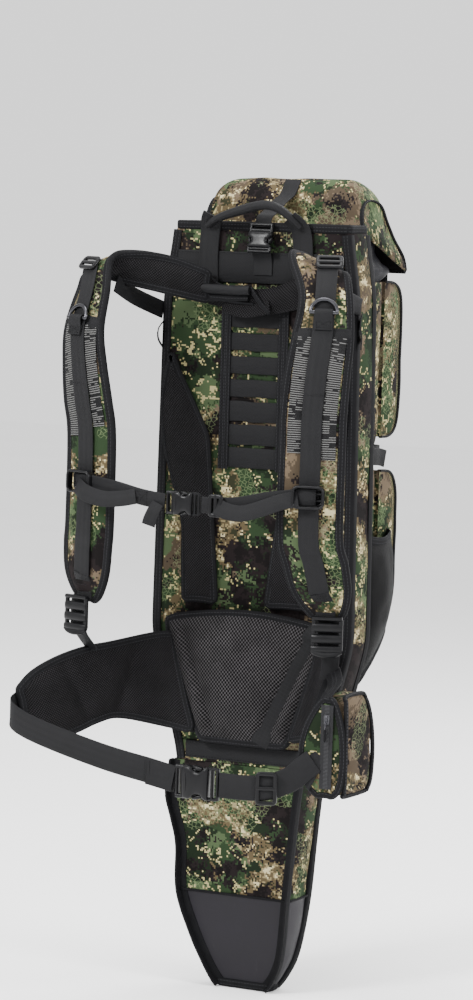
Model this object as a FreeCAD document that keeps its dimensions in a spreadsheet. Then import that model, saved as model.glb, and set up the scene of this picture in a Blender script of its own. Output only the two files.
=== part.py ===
import FreeCAD, Part
import os
import re

import Sketcher
from FreeCAD import Placement, Rotation, Vector

# Hunting backpack with a flat scabbard behind the harness and a fold-down boot.
# Frame: millimetres, +Z up.  The harness side faces -Y and the bag is on +Y.
# The origin is on the boot's flat base, midway between the scabbard's two faces.

DIMS = {
    # scabbard, the flat sleeve between the harness and the bag
    "wall": 3,
    "scabbard_half": 27,
    "panel_top": 960,
    "panel_shoulder": 880,
    "panel_low": 450,
    "panel_foot": 290,
    "panel_top_half": 120,
    "panel_shoulder_half": 133,
    "panel_low_half": 138,
    "panel_foot_half": 96,
    "sheet_thick": 2,
    # tape, webbing and pads
    "tape_thick": 1.8,
    "tape_wide": 9,
    "webbing_thick": 1.6,
    "band_low": 894,
    "band_tall": 39,
    "foot_band_low": 292,
    "foot_band_tall": 22,
    "ladder_left": 37,
    "ladder_right": 29,
    "ladder_low": 665,
    "rung_tall": 22,
    "rung_pitch": 29,
    "rung_count": 7,
    "rail_wide": 14,
    "pad_thick": 12,
    "lumbar_thick": 25,
    "yoke_thick": 18,
    "strap_thick": 14,
    "wing_thick": 14,
    # bag
    "bag_half": 110,
    "bag_front": 104,
    "bag_rim": 905,
    "bag_heel": 380,
    "bag_toe": 428,
    "pocket_half": 111,
    "pocket_front": 157,
    "mesh_out": 138,
    "mesh_wall": 2,
    "mesh_rim": 582,
    "collar_half": 106,
    "collar_rim": 950,
    "groove_low": 668,
    "groove_tape": 25,
    # lid
    "lid_half": 116,
    "lid_wall": 3,
    # boot
    "boot_top": 286,
    "boot_seam": 122,
    # hardware
    "plate_clear": 0.4,
    "ring_radius": 16,
    "ring_wire": 2.5,
    "slider_clear": 0.5,
    "zip_tape": 22,
    "zip_travel": 180,
}

doc = FreeCAD.newDocument("HuntingBackpack")
sheet = doc.addObject("Spreadsheet::Sheet", "Dims")
for row, (alias, value) in enumerate(DIMS.items(), 1):
    sheet.set(f"A{row}", alias)
    sheet.set(f"B{row}", str(value))
    sheet.setAlias(f"B{row}", alias)
doc.recompute()

kept = []


def dim(alias):
    """The value of one cell of the sheet."""
    return float(sheet.get(alias))


def bound(expression):
    """An expression with the sheet's name before every cell name."""
    return re.sub(r"[a-z]\w*", lambda word: "Dims." + word.group(0), str(expression))


def keep(part):
    """Mark a sub-part for export under its Label."""
    kept.append(part)
    return part


def outline_sketch(body, plane, outline):
    """A closed outline of straight edges, every corner bound to the sheet."""
    sketch = body.newObject("Sketcher::SketchObject", body.Name + "_sketch")
    origin = [face for face in body.Origin.OriginFeatures if face.Role == plane + "_Plane"]
    sketch.AttachmentSupport = (origin[0], [""])
    sketch.MapMode = "FlatFace"
    count = len(outline)
    seeds = [Rotation(Vector(0, 0, 1), 360 * i / count).multVec(Vector(90, 10, 0)) for i in range(count)]
    for i in range(count):
        sketch.addGeometry(Part.LineSegment(seeds[i], seeds[(i + 1) % count]))
    for i in range(count):
        sketch.addConstraint(Sketcher.Constraint("Coincident", i, 2, (i + 1) % count, 1))
    for i, corner in enumerate(outline):
        for kind, expression, seed in zip(("DistanceX", "DistanceY"), corner, seeds[i]):
            index = sketch.addConstraint(Sketcher.Constraint(kind, -1, 1, i, 1, seed))
            sketch.setExpression(f"Constraints[{index}]", bound(expression))
    return sketch


def plate(label, plane, outline, start, thickness):
    """A piece of even thickness: an outline on a plane, padded from start along the plane's axis."""
    body = doc.addObject("PartDesign::Body", label)
    pad = body.newObject("PartDesign::Pad", label + "_pad")
    pad.Profile = outline_sketch(body, plane, outline)
    pad.setExpression("Length", bound(thickness))
    body.Tip = pad
    across = {"XY": "z", "XZ": "y", "YZ": "x"}[plane]
    # a pad on the XZ plane grows towards -Y, so its body sits at the far face
    base = f"{start} + {thickness}" if plane == "XZ" else start
    body.setExpression(f"Placement.Base.{across}", bound(base))
    return body


def cut(label, base, tool):
    """One piece taken out of another."""
    result = doc.addObject("Part::Cut", label)
    result.Base = base
    result.Tool = tool
    return result


def fuse(label, pieces):
    """Several touching pieces joined to one solid."""
    result = doc.addObject("Part::MultiFuse", label)
    result.Shapes = pieces
    return result


def group(label, pieces):
    """Separate solids that share one node."""
    result = doc.addObject("Part::Compound", label)
    result.Links = pieces
    return result


def block(label, size, corner):
    """A box from its low corner, both given as expressions."""
    result = doc.addObject("Part::Box", label)
    for side, expression in zip(("Length", "Width", "Height"), size):
        result.setExpression(side, bound(expression))
    for axis, expression in zip("xyz", corner):
        result.setExpression(f"Placement.Base.{axis}", bound(expression))
    return result


def flipped(outline):
    """The mirror image of an outline across the sketch's vertical axis."""
    return [(f"-({x})", y) for x, y in reversed(outline)]


def sections(pairs, thickness):
    """Rectangles across a strip: one for each pair of edge points."""
    middles = [(Vector(*a) + Vector(*b)) * 0.5 for a, b in pairs]
    wires = []
    for i, (a, b) in enumerate(pairs):
        across = (Vector(*b) - Vector(*a)).normalize()
        along = middles[min(i + 1, len(pairs) - 1)] - middles[max(i - 1, 0)]
        off = along.cross(across).normalize() * (thickness / 2)
        corners = [Vector(*a) + off, Vector(*b) + off, Vector(*b) - off, Vector(*a) - off]
        wires.append(Part.makePolygon(corners + corners[:1]))
    return wires


def strip(label, pairs, thickness):
    """A strap, pad or tape that runs through pairs of edge points."""
    result = doc.addObject("Part::Feature", label)
    result.Shape = Part.makeLoft(sections(pairs, thickness), True, True)
    return result


def webbing(label, middles, across, width, thickness):
    """A webbing strip from its middle line and the direction of its width."""
    half = Vector(*across).normalize() * (width / 2)
    pairs = [(tuple(Vector(*m) - half), tuple(Vector(*m) + half)) for m in middles]
    return strip(label, pairs, thickness)


def placed(part, base, axis=(1, 0, 0), angle=0):
    """Give a finished piece its place."""
    part.Placement = Placement(Vector(*base), Rotation(Vector(*axis), angle))
    return part


def frame_bar(label, width, tall, thick, rim, bar):
    """A flat buckle frame in XZ with two slots, one above and one below its middle bar."""
    outer = block(label + "_outer", (width, thick, tall), (-width / 2, -thick / 2, -tall / 2))
    slot = (tall - 2 * rim - bar) / 2
    slots = []
    for name, low in (("low", -tall / 2 + rim), ("high", bar / 2)):
        corner = (-width / 2 + rim, -thick, low)
        slots.append(block(f"{label}_{name}", (width - 2 * rim, 2 * thick, slot), corner))
    return cut(label, outer, fuse(label + "_slots", slots))


def buckle_socket(label, width, tall, deep, wall):
    """The female half of a side-release buckle, open at its top, z = 0."""
    outer = block(label + "_outer", (width, deep, tall), (-width / 2, -deep / 2, -tall))
    size = (width - 2 * wall, deep - 2 * wall, tall)
    inner = block(label + "_inner", size, (-width / 2 + wall, -deep / 2 + wall, -tall + wall))
    return cut(label, outer, inner)


def buckle_plug(label, width, reach, deep, wall, clear):
    """The male half: a slotted base above the socket's mouth and two prongs down inside it."""
    base_tall = 11
    prong = 4
    base = block(label + "_base", (width, deep, base_tall), (-width / 2, -deep / 2, clear))
    slot = block(label + "_slot", (width - 8, 2 * deep, 4), (-width / 2 + 4, -deep, clear + 4))
    inset = wall + clear + 0.6
    pieces = [cut(label + "_head", base, slot)]
    for side in (-1, 1):
        low_x = side * (width / 2 - inset) - (prong if side > 0 else 0)
        size = (prong, deep - 2 * inset, reach + clear)
        pieces.append(block(f"{label}_prong{side + 1}", size, (low_x, -deep / 2 + inset, -reach)))
    return fuse(label, pieces)


# ---------------------------------------------------------------- scabbard

PANEL_RIGHT = [
    ("panel_foot_half", "panel_foot"),
    ("panel_low_half", "panel_low"),
    ("panel_shoulder_half", "panel_shoulder"),
    ("panel_top_half", "panel_top"),
]


def scabbard():
    """Front and rear panels, the two gussets between them and the stiff sheet inside."""
    outline = PANEL_RIGHT + flipped(PANEL_RIGHT)
    keep(plate("back_panel", "XZ", outline, "-scabbard_half", "wall"))
    keep(plate("divider_panel", "XZ", outline, "scabbard_half - wall", "wall"))
    inner = [(f"{x} - wall", z) for x, z in reversed(PANEL_RIGHT)]
    strip_right = PANEL_RIGHT + inner
    depth = "2 * scabbard_half - 2 * wall"
    gussets = [plate("gusset_right", "XZ", strip_right, "wall - scabbard_half", depth),
               plate("gusset_left", "XZ", flipped(strip_right), "wall - scabbard_half", depth)]
    keep(group("scabbard_gussets", gussets))
    board = [("88", "panel_foot + 20"), ("panel_low_half - 12", "panel_low"),
             ("panel_shoulder_half - 14", "panel_shoulder"), ("panel_top_half - 20", "panel_top - 30")]
    keep(plate("frame_sheet", "XZ", board + flipped(board), "wall - scabbard_half", "sheet_thick"))


def stays():
    """Two flat aluminium bars on the inner face of the stiff sheet."""
    bars = []
    for name, x in (("left", "-70"), ("right", "50")):
        size = ("20", "3", "540")
        bars.append(block(f"stay_{name}", size, (x, "wall - scabbard_half + sheet_thick", "380")))
    keep(group("frame_stays", bars))


def panel_trim():
    """Binding tape round the panel and the mouth, and the webbing bands across the panel."""
    edges = []
    right_edge = PANEL_RIGHT + [(f"{x} - tape_wide", z) for x, z in reversed(PANEL_RIGHT)]
    for name, outline in (("right", right_edge), ("left", flipped(right_edge))):
        edges.append(plate(f"edge_{name}", "XZ", outline, "-scabbard_half - tape_thick", "tape_thick"))
    mouth = block("mouth_outer", ("2 * panel_top_half", "2 * scabbard_half", "tape_wide"),
                  ("-panel_top_half", "-scabbard_half", "panel_top"))
    hole = block("mouth_inner", ("2 * panel_top_half - 2 * wall", "2 * scabbard_half - 2 * wall", "30"),
                 ("wall - panel_top_half", "wall - scabbard_half", "panel_top - 10"))
    keep(group("panel_bindings", edges + [cut("mouth_edge", mouth, hole)]))
    bands = [block("band_top", ("2 * panel_top_half - 4", "webbing_thick", "band_tall"),
                   ("2 - panel_top_half", "-scabbard_half - webbing_thick", "band_low")),
             block("band_foot", ("2 * panel_foot_half - 20", "webbing_thick", "foot_band_tall"),
                   ("10 - panel_foot_half", "-scabbard_half - webbing_thick", "foot_band_low"))]
    keep(group("panel_webbing_bands", bands))


def ladder():
    """Webbing rungs down the middle of the panel, between two upright rails."""
    pieces = []
    for i in range(int(dim("rung_count"))):
        size = ("ladder_left + ladder_right", "webbing_thick", "rung_tall")
        corner = ("-ladder_left", "-scabbard_half - webbing_thick", f"ladder_low + {i} * rung_pitch")
        pieces.append(block(f"rung_{i}", size, corner))
    for name, low in (("left", "-ladder_left - rail_wide"), ("right", "ladder_right")):
        corner = (low, "-scabbard_half - webbing_thick", "ladder_low")
        pieces.append(block(f"rail_{name}", ("rail_wide", "webbing_thick", "200"), corner))
    keep(group("harness_ladder", pieces))


def back_pads():
    """The two upright mesh pads, the lumbar pad and the yoke pad."""
    left = [("-120", "804"), ("-133", "743"), ("-125", "682"), ("-98", "593"), ("-94", "492"),
            ("-46", "492"), ("-60", "660"), ("-64", "702"), ("-91", "751")]
    front = "-scabbard_half - pad_thick"
    right = [("112", "804"), ("82", "751"), ("60", "702"), ("52", "660"), ("30", "492"),
             ("100", "492"), ("104", "593"), ("121", "682"), ("127", "743")]
    keep(group("back_pads", [plate("back_pad_left", "XZ", left, front, "pad_thick"),
                             plate("back_pad_right", "XZ", right, front, "pad_thick")]))
    lumbar = [("-113", "474"), ("-60", "484"), ("10", "488"), ("80", "481"), ("116", "468"),
              ("110", "430"), ("62", "318"), ("-62", "317"), ("-108", "440")]
    keep(plate("lumbar_pad", "XZ", lumbar, "-scabbard_half - lumbar_thick", "lumbar_thick"))
    yoke = [("-64", "870"), ("-60", "890"), ("70", "890"), ("74", "870"), ("66", "862"), ("-56", "862")]
    pad = plate("yoke_block", "XZ", yoke, "-scabbard_half - yoke_thick", "yoke_thick")
    roll = doc.addObject("Part::Cylinder", "yoke_roll")
    roll.Radius = 6
    roll.Height = 70
    placed(roll, (-72, -dim("scabbard_half") - dim("yoke_thick") - 6.2, 886), (0, 1, 0), 90)
    keep(group("yoke_pad", [pad, roll]))


# ---------------------------------------------------------------- harness

# each strap starts as pairs of edge points on the yoke and goes over its crest,
# then follows stations of (middle point, outward yaw in degrees, width)
STRAPS = {
    "left": {
        "side": -1,
        "yoke": [((-66, -48, 868), (-66, -48, 914)), ((-98, -78, 878), (-98, -78, 924)),
                 ((-146, -104, 890), (-130, -114, 930)), ((-188, -128, 900), (-148, -140, 922))],
        "run": [((-163, -160, 880), 24, 60), ((-166, -175, 834), 22, 70), ((-160, -182, 792), 20, 76),
                ((-152, -186, 748), 16, 78), ((-145, -187, 705), 16, 78), ((-145, -187, 600), 16, 78),
                ((-151, -179, 570), 16, 78), ((-158, -167, 535), 16, 72), ((-162, -156, 508), 16, 48),
                ((-161, -151, 497), 16, 20)],
    },
    "right": {
        "side": 1,
        "yoke": [((74, -48, 868), (74, -48, 914)), ((98, -78, 882), (90, -78, 930)),
                 ((132, -104, 896), (92, -114, 936)), ((166, -128, 912), (96, -142, 932))],
        "run": [((156, -162, 886), 24, 62), ((160, -176, 836), 22, 72), ((158, -183, 795), 20, 76),
                ((156, -186, 748), 16, 78), ((156, -187, 705), 16, 78), ((156, -187, 600), 16, 78),
                ((160, -179, 570), 16, 78), ((163, -167, 535), 16, 72), ((166, -156, 508), 16, 48),
                ((167, -151, 497), 16, 20)],
    },
}
STRAP_YAW = 16
STRAP_WEBBING = 25
STRAIGHT = (4, 5)
WEBBING_STAND = 10.2
WEBBED = 8


def strap_edges(side, run):
    """Edge points of the stations: outer edge first, as on the yoke."""
    pairs = []
    for middle, yaw, width in run:
        half = Rotation(Vector(0, 0, 1), side * yaw).multVec(Vector(side * width / 2, 0, 0))
        pairs.append((tuple(Vector(*middle) + half), tuple(Vector(*middle) - half)))
    return pairs


def strap_normal(side, yaw):
    """The way a strap's outer face looks."""
    turn = Rotation(Vector(0, 0, 1), side * yaw)
    return turn.multVec(Vector(0, -1, 0))


def shoulder_strap(name):
    """A padded strap and the webbing that stands off its outer face."""
    strap = STRAPS[name]
    side, run = strap["side"], strap["run"]
    keep(strip(f"{name}_shoulder_pad", strap["yoke"] + strap_edges(side, run), dim("strap_thick")))
    pairs = []
    for i in range(WEBBED):
        middle, yaw, width = run[i]
        before, after = run[max(i - 1, 0)][0], run[i + 1][0]
        along = Vector(0, 0, -1) if i in STRAIGHT else (Vector(*after) - Vector(*before)).normalize()
        across = strap_normal(side, yaw).cross(Vector(0, 0, 1)).normalize()
        out = across.cross(along).normalize()
        if out.y > 0:
            out = out * -1
        point = Vector(*middle) + out * WEBBING_STAND
        half = across * (STRAP_WEBBING / 2)
        pairs.append((tuple(point - half), tuple(point + half)))
    return strip(f"strap_webbing_{name}", pairs, dim("webbing_thick"))


CREST_YAW = 26
CREST_FALL = 42


def load_lifters():
    """Webbing from each strap's crest back to the panel, with a hanging tail and a tri-glide."""
    thick = dim("webbing_thick")
    rows = (("left", (-151, -124, 890), (-137.5, -22, 856), (-176, -147, 915)),
            ("right", (122, -120, 908), (137.5, -22, 870), (152, -146, 927)))
    pieces = []
    glides = []
    for side, front, back, crest in rows:
        run = [front, back]
        tail = [(back[0], back[1], back[2] - 14), (back[0], back[1], back[2] - 44)]
        pieces.append(webbing(f"lifter_run_{side}", run, (0, 0, 1), 22, thick))
        pieces.append(webbing(f"lifter_tail_{side}", tail, (0, 1, 0), 22, thick))
        glide = frame_bar(f"{side}_lifter_glide", 32, 20, 4, 4, 4)
        turn = Rotation(Vector(0, 0, 1), STRAPS[side]["side"] * CREST_YAW)
        glide.Placement = Placement(Vector(*crest), turn * Rotation(Vector(1, 0, 0), -CREST_FALL))
        glides.append(glide)
    keep(group("load_lifters", pieces))
    return glides


def lower_webbings():
    """Webbing from each strap's lower end to the hip wing."""
    rows = (("left", [(-172, -150, 455), (-168, -142, 441)]),
            ("right", [(172, -150, 455), (172, -150, 430)]))
    pieces = []
    for side, line in rows:
        pieces.append(webbing(f"lower_webbing_{side}", line, (1, 0, 0), 20, dim("webbing_thick")))
    keep(group("lower_webbings", pieces))


def grab_handle():
    """Two flat legs on the webbing band and a rolled arch above the mouth."""
    y = -dim("scabbard_half") - dim("webbing_thick") - 1.8
    legs = []
    for name, x in (("left", -71), ("right", 60)):
        legs.append(webbing(f"leg_{name}", [(x, y, 896), (x, y, 956)], (1, 0, 0), 26, 3))
    arch = [(-71, y - 1, 955), (-66, -42, 970), (-46, -51, 984), (-6, -53, 991),
            (34, -51, 984), (54, -42, 970), (60, y - 1, 955)]
    legs.append(webbing("handle_arch", arch, (0, 1, 0), 13, 11))
    keep(fuse("grab_handle", legs))


def d_ring(label):
    """A D-ring: a straight bar along X with half a ring above it."""
    bar = doc.addObject("Part::Cylinder", label + "_bar")
    bar.setExpression("Radius", bound("ring_wire"))
    bar.setExpression("Height", bound("2 * ring_radius"))
    placed(bar, (-dim("ring_radius"), 0, 0), (0, 1, 0), 90)
    bow = doc.addObject("Part::Torus", label + "_bow")
    bow.setExpression("Radius1", bound("ring_radius"))
    bow.setExpression("Radius2", bound("ring_wire"))
    bow.Angle3 = 180
    placed(bow, (0, 0, 0), (1, 0, 0), 90)
    return fuse(label, [bar, bow])


RING_YAW = 22
RINGS = {"left": ((-170.7, -184.4, 848), 18), "right": ((163, -181, 868), 15.6)}


def rings_and_tabs():
    """The D-rings, leaning back on the straps, and the sewn tabs below that hold them."""
    tabs = []
    for name, (spot, lean) in RINGS.items():
        side = STRAPS[name]["side"]
        turn = Rotation(Vector(0, 0, 1), side * RING_YAW) * Rotation(Vector(1, 0, 0), -lean)
        ring = d_ring(f"{name}_d_ring")
        ring.Placement = Placement(Vector(*spot), turn)
        keep(ring)
        down, back = turn.multVec(Vector(0, 0, -1)), turn.multVec(Vector(0, 1, 0))
        line = [Vector(*spot) + back * 1.2 + down * reach for reach in (4, 20)]
        across = tuple(turn.multVec(Vector(1, 0, 0)))
        tabs.append(webbing(f"ring_tab_{name}", [tuple(point) for point in line], across, 24, 2))
    keep(group("ring_tabs", tabs))


LOCKS = {"left": (-172, -166, 482), "right": (173, -166, 482)}


def ladder_locks():
    """The adjusters at the lower ends of the straps."""
    for name, spot in LOCKS.items():
        lock = frame_bar(f"{name}_ladder_lock", 38, 44, 6, 4.5, 5)
        keep(placed(lock, spot, (0, 0, 1), STRAPS[name]["side"] * STRAP_YAW))


# ---------------------------------------------------------------- hip belt

LEFT_WING = [
    ((-112, -44, 452), (-72, -44, 326)), ((-124, -56, 448), (-106, -57, 334)),
    ((-156, -107, 439), (-143, -102, 346)), ((-173, -139, 436), (-160, -130, 341)),
    ((-191, -177, 426), (-176, -157, 330)), ((-211, -212, 408), (-195, -190, 322)),
    ((-219, -227, 390), (-212, -222, 340)),
]
RIGHT_WING = [
    ((116, -44, 452), (72, -44, 326)), ((126, -56, 450), (100, -60, 334)),
    ((152, -107, 438), (136, -102, 340)), ((166, -150, 425), (152, -140, 326)),
    ((176, -190, 405), (166, -180, 318)), ((182, -222, 385), (178, -218, 322)),
    ((184, -234, 368), (182, -232, 332)),
]
HIP_WEBBING = 30
HIP_Y = -277
HIP_Z = 307
HIP_MOUTH_X = 44


def hip_wings():
    """The padded wings that curve forward from the lumbar pad."""
    keep(strip("left_hip_wing", LEFT_WING, dim("wing_thick")))
    keep(strip("right_hip_wing", RIGHT_WING, dim("wing_thick")))


def hip_belt():
    """Webbing from each wing, the buckle between them and a tri-glide on the right."""
    thick = dim("webbing_thick")
    left = [(-222, -238, 362), (-206, -250, 352), (-170, -258, 344), (-120, -266, 334),
            (-60, -273, 323), (0, -276, 314), (HIP_MOUTH_X - 14, HIP_Y, HIP_Z + 1)]
    right = [(104, HIP_Y, HIP_Z), (126, -275, HIP_Z), (150, -266, HIP_Z + 2), (172, -250, HIP_Z + 12),
             (183, -240, HIP_Z + 28)]
    keep(webbing("left_hip_webbing", left, (0, 0, 1), HIP_WEBBING, thick))
    keep(webbing("right_hip_webbing", right, (0, 0, 1), HIP_WEBBING, thick))
    socket = buckle_socket("hip_socket", 40, 46, 14, 2.5)
    keep(placed(socket, (HIP_MOUTH_X, HIP_Y, HIP_Z), (0, 1, 0), -90))
    plug = buckle_plug("hip_plug", 40, 20, 14, 2.5, 0.5)
    keep(placed(plug, (HIP_MOUTH_X, HIP_Y, HIP_Z), (0, 1, 0), -90))
    glide = frame_bar("hip_triglide", 40, 24, 5, 4, 5)
    return [placed(glide, (150, -272, HIP_Z + 1), (0, 0, 1), 22)]


def hip_pocket():
    """The zipped pouch on the outside of the right wing."""
    outline = [("191", "-160"), ("191", "-222"), ("196", "-236"), ("224", "-236"), ("234", "-222"),
               ("234", "-166"), ("226", "-158")]
    keep(plate("hip_pocket", "XY", outline, "298", "122"))
    slider = block("hip_zip_slider", ("8", "4", "12"), ("207", "-241.8", "386"))
    keep(slider)
    keep(block("hip_zip_pull", ("7", "2.2", "24"), ("207.5", "-245", "366")))
    return block("zip_tape_hip", ("16", "1.4", "100"), ("203", "-237.4", "309"))


# ---------------------------------------------------------------- sternum strap

STERNUM_Z = 649
STERNUM_Y = -222
STERNUM_MOUTH_X = -8
SLIDER_DEEP = 7.3


def sternum_slider(name):
    """A frame round the strap webbing: its slot runs along Z."""
    label = f"slider_{name}"
    outer = block(label + "_outer", (34, SLIDER_DEEP - 0.3, 22), (-17, -SLIDER_DEEP, -11))
    middle = dim("strap_thick") / 2 - WEBBING_STAND
    deep = dim("webbing_thick") + 2 * dim("slider_clear")
    wide = STRAP_WEBBING + 2 * dim("slider_clear")
    slot = block(label + "_slot", (wide, deep, 60), (-wide / 2, middle - deep / 2, -30))
    slider = cut(label, outer, slot)
    side = STRAPS[name]["side"]
    face = strap_point(name, dim("strap_thick") / 2)
    return placed(slider, face, (0, 0, 1), side * STRAP_YAW)


def strap_point(name, offset):
    """A point at the sternum strap's height, so far in front of a strap's middle."""
    strap = STRAPS[name]
    middle = Vector(*strap["run"][STRAIGHT[0]][0])
    middle.z = STERNUM_Z
    return tuple(middle + strap_normal(strap["side"], STRAP_YAW) * offset)


def sternum_strap():
    """Sliders, webbing and a small side-release buckle across the chest."""
    keep(group("sternum_sliders", [sternum_slider("left"), sternum_slider("right")]))
    thick = dim("webbing_thick")
    reach = dim("strap_thick") / 2 + SLIDER_DEEP + 0.4 + thick / 2
    left_x, front, _ = strap_point("left", reach)
    right_x = strap_point("right", reach)[0]
    left = [(left_x - 8, front + 2.3, STERNUM_Z), (left_x + 10, front - 2.9, STERNUM_Z),
            (-95, front - 13, STERNUM_Z - 4), (-55, STERNUM_Y + 1, STERNUM_Z - 12),
            (STERNUM_MOUTH_X - 14, STERNUM_Y, STERNUM_Z - 16)]
    right = [(38, STERNUM_Y, STERNUM_Z - 16), (75, STERNUM_Y + 2, STERNUM_Z - 14),
             (112, front - 11, STERNUM_Z - 6), (right_x - 10, front - 2.9, STERNUM_Z),
             (right_x + 8, front + 2.3, STERNUM_Z)]
    keep(webbing("left_sternum_webbing", left, (0, 0, 1), 20, thick))
    keep(webbing("right_sternum_webbing", right, (0, 0, 1), 20, thick))
    spot = (STERNUM_MOUTH_X, STERNUM_Y, STERNUM_Z - 16)
    keep(placed(buckle_socket("sternum_socket", 28, 34, 11, 2), spot, (0, 1, 0), -90))
    keep(placed(buckle_plug("sternum_plug", 28, 15, 11, 2, 0.4), spot, (0, 1, 0), -90))
    glide = frame_bar("sternum_adjuster", 28, 20, 4, 4, 4)
    keep(placed(glide, (49, STERNUM_Y - 4, STERNUM_Z - 16), (0, 1, 0), 90))


# ---------------------------------------------------------------- bag

def bag():
    """The main compartment's walls and the collar above them."""
    side = [("scabbard_half", "bag_heel"), ("bag_front", "bag_toe"), ("bag_front", "bag_rim - 5"),
            ("scabbard_half", "bag_rim")]
    keep(group("bag_side_panels", [plate("bag_right", "YZ", side, "bag_half - wall", "wall"),
                                   plate("bag_left", "YZ", side, "-bag_half", "wall")]))
    inner = "2 * bag_half - 2 * wall"
    keep(block("front_bag_panel", (inner, "wall", "bag_rim - bag_toe - 5"),
               ("wall - bag_half", "bag_front - wall", "bag_toe")))
    floor = [("scabbard_half", "bag_heel"), ("bag_front - wall", "bag_toe - 2"),
             ("bag_front - wall", "bag_toe + 2"), ("scabbard_half", "bag_heel + 4")]
    keep(plate("bottom_bag_panel", "YZ", floor, "wall - bag_half", inner))
    outer = block("collar_outer", ("2 * collar_half", "68", "54"), ("-collar_half", "31", "collar_rim - 54"))
    hole = block("collar_inner", ("2 * collar_half - 4", "64", "80"), ("2 - collar_half", "33", "collar_rim - 70"))
    keep(cut("collar", outer, hole))


def front_pockets():
    """Two stuffed pockets on the bag's front, each with a zip across its face."""
    upper = [("bag_front", "702"), ("138", "706"), ("152", "722"), ("pocket_front", "752"),
             ("pocket_front", "866"), ("147", "888"), ("128", "897"), ("bag_front", "898")]
    lower = [("bag_front", "440"), ("126", "452"), ("148", "478"), ("pocket_front", "510"),
             ("pocket_front", "622"), ("150", "646"), ("138", "656"), ("bag_front", "660")]
    width = "2 * pocket_half"
    keep(plate("upper_front_pocket", "YZ", upper, "-pocket_half", width))
    keep(plate("lower_front_pocket", "YZ", lower, "-pocket_half", width))
    tapes = []
    for name, z in (("upper", 840), ("lower", 606)):
        tapes.append(block(f"zip_tape_{name}", ("zip_travel + 22", "1.4", "zip_tape"),
                           ("-zip_travel / 2 - 11", "pocket_front", z)))
        keep(block(f"{name}_zip_slider", ("12", "4", "9"),
                   ("zip_travel / 2 - 6", "pocket_front + 1.4 + plate_clear", z + 7)))
        keep(block(f"{name}_zip_pull", ("7", "2.2", "28"),
                   ("zip_travel / 2 - 3.5", "pocket_front + 6.6", z - 12)))
    return tapes


def mesh_pockets():
    """Open-topped stretch pockets low on the bag's sides."""
    shells = []
    rows = (("right", "pocket_half + 0.5", "pocket_half"), ("left", "-mesh_out", "mesh_wall - mesh_out"))
    for name, start, low in rows:
        outer = [("38", "392"), ("128", "462"), ("128", "mesh_rim"), ("38", "mesh_rim")]
        inner = [("38 + mesh_wall", "392 + 2 * mesh_wall"), ("128 - mesh_wall", "462 + mesh_wall"),
                 ("128 - mesh_wall", "mesh_rim + 20"), ("38 + mesh_wall", "mesh_rim + 20")]
        shell = plate(f"{name}_mesh_outer", "YZ", outer, start, "mesh_out - pocket_half - 0.5")
        core = plate(f"{name}_mesh_inner", "YZ", inner, low, "mesh_out - mesh_wall - pocket_half")
        shells.append(cut(f"mesh_pocket_{name}", shell, core))
    keep(group("mesh_side_pockets", shells))


def compression():
    """The strap round the bag's waist and its two adjusters."""
    low = "groove_low"
    side = ("webbing_thick", "bag_front - 36", "groove_tape")
    pieces = [
        block("waist_right", side, ("bag_half", "36", low)),
        block("waist_left", side, ("-bag_half - webbing_thick", "36", low)),
        block("waist_front", ("2 * bag_half + 2 * webbing_thick", "webbing_thick", "groove_tape"),
              ("-bag_half - webbing_thick", "bag_front", low)),
    ]
    keep(fuse("compression_strap", pieces))
    glides = []
    for name, x in (("right", dim("bag_half") + 4.2), ("left", -dim("bag_half") - 4.2)):
        glide = frame_bar(f"waist_glide_{name}", 24, 32, 4, 4, 4)
        glides.append(placed(glide, (x, 62, dim("groove_low") + dim("groove_tape") / 2), (0, 0, 1), 90))
    return glides


# ---------------------------------------------------------------- lid

TOP_BUCKLE = (5, -37, 958)
TOP_TILT = 15


def lid():
    """The cap over the bag, hinged along its front rim, with its strap and buckle."""
    outer = [("30", "957"), ("34", "1002"), ("46", "1022"), ("66", "1029"), ("92", "1021"),
             ("138", "968"), ("157", "934"), ("160", "914")]
    inner = [("33", "950"), ("37", "1000"), ("48", "1019"), ("66", "1026"), ("90", "1018"),
             ("135", "966"), ("154", "933"), ("157", "905")]
    shell = plate("lid_outer", "YZ", outer, "-lid_half", "2 * lid_half")
    core = plate("lid_inner", "YZ", inner, "lid_wall - lid_half", "2 * lid_half - 2 * lid_wall")
    keep(cut("lid_shell", shell, core))
    thick = dim("webbing_thick")
    x, y, z = TOP_BUCKLE
    line = [(x, y + 3.2, z + 9), (x, y + 5, z + 17), (x, y + 22, z + 25), (x, 10, z + 38), (x, 33, z + 47)]
    keep(webbing("lid_strap", line, (1, 0, 0), 22, thick))
    socket = buckle_socket("lid_socket", 32, 26, 11, 2)
    keep(placed(socket, TOP_BUCKLE, (1, 0, 0), -TOP_TILT))
    plug = buckle_plug("lid_plug", 32, 12, 11, 2, 1.0)
    keep(placed(plug, TOP_BUCKLE, (1, 0, 0), -TOP_TILT))
    keep(block("lid_hinge_tape", ("180", "1.6", "46"), ("-90", "pocket_front + 0.4", "866")))


# ---------------------------------------------------------------- boot

BOOT_SECTIONS = [(122, -90, 64, 27), (40, -60, 52, 17), (0, -34, 26, 10)]


def boot_tube(inset, low_z):
    """The toe's outer form, or its hollow when inset is the wall."""
    wires = []
    for z, left, right, half in BOOT_SECTIONS:
        level = z if z else low_z
        a = Vector(left + inset, -half + inset, level)
        b = Vector(right - inset, half - inset, level)
        corners = [a, Vector(b.x, a.y, level), b, Vector(a.x, b.y, level)]
        wires.append(Part.makePolygon(corners + corners[:1]))
    return Part.makeLoft(wires, True, True)


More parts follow.
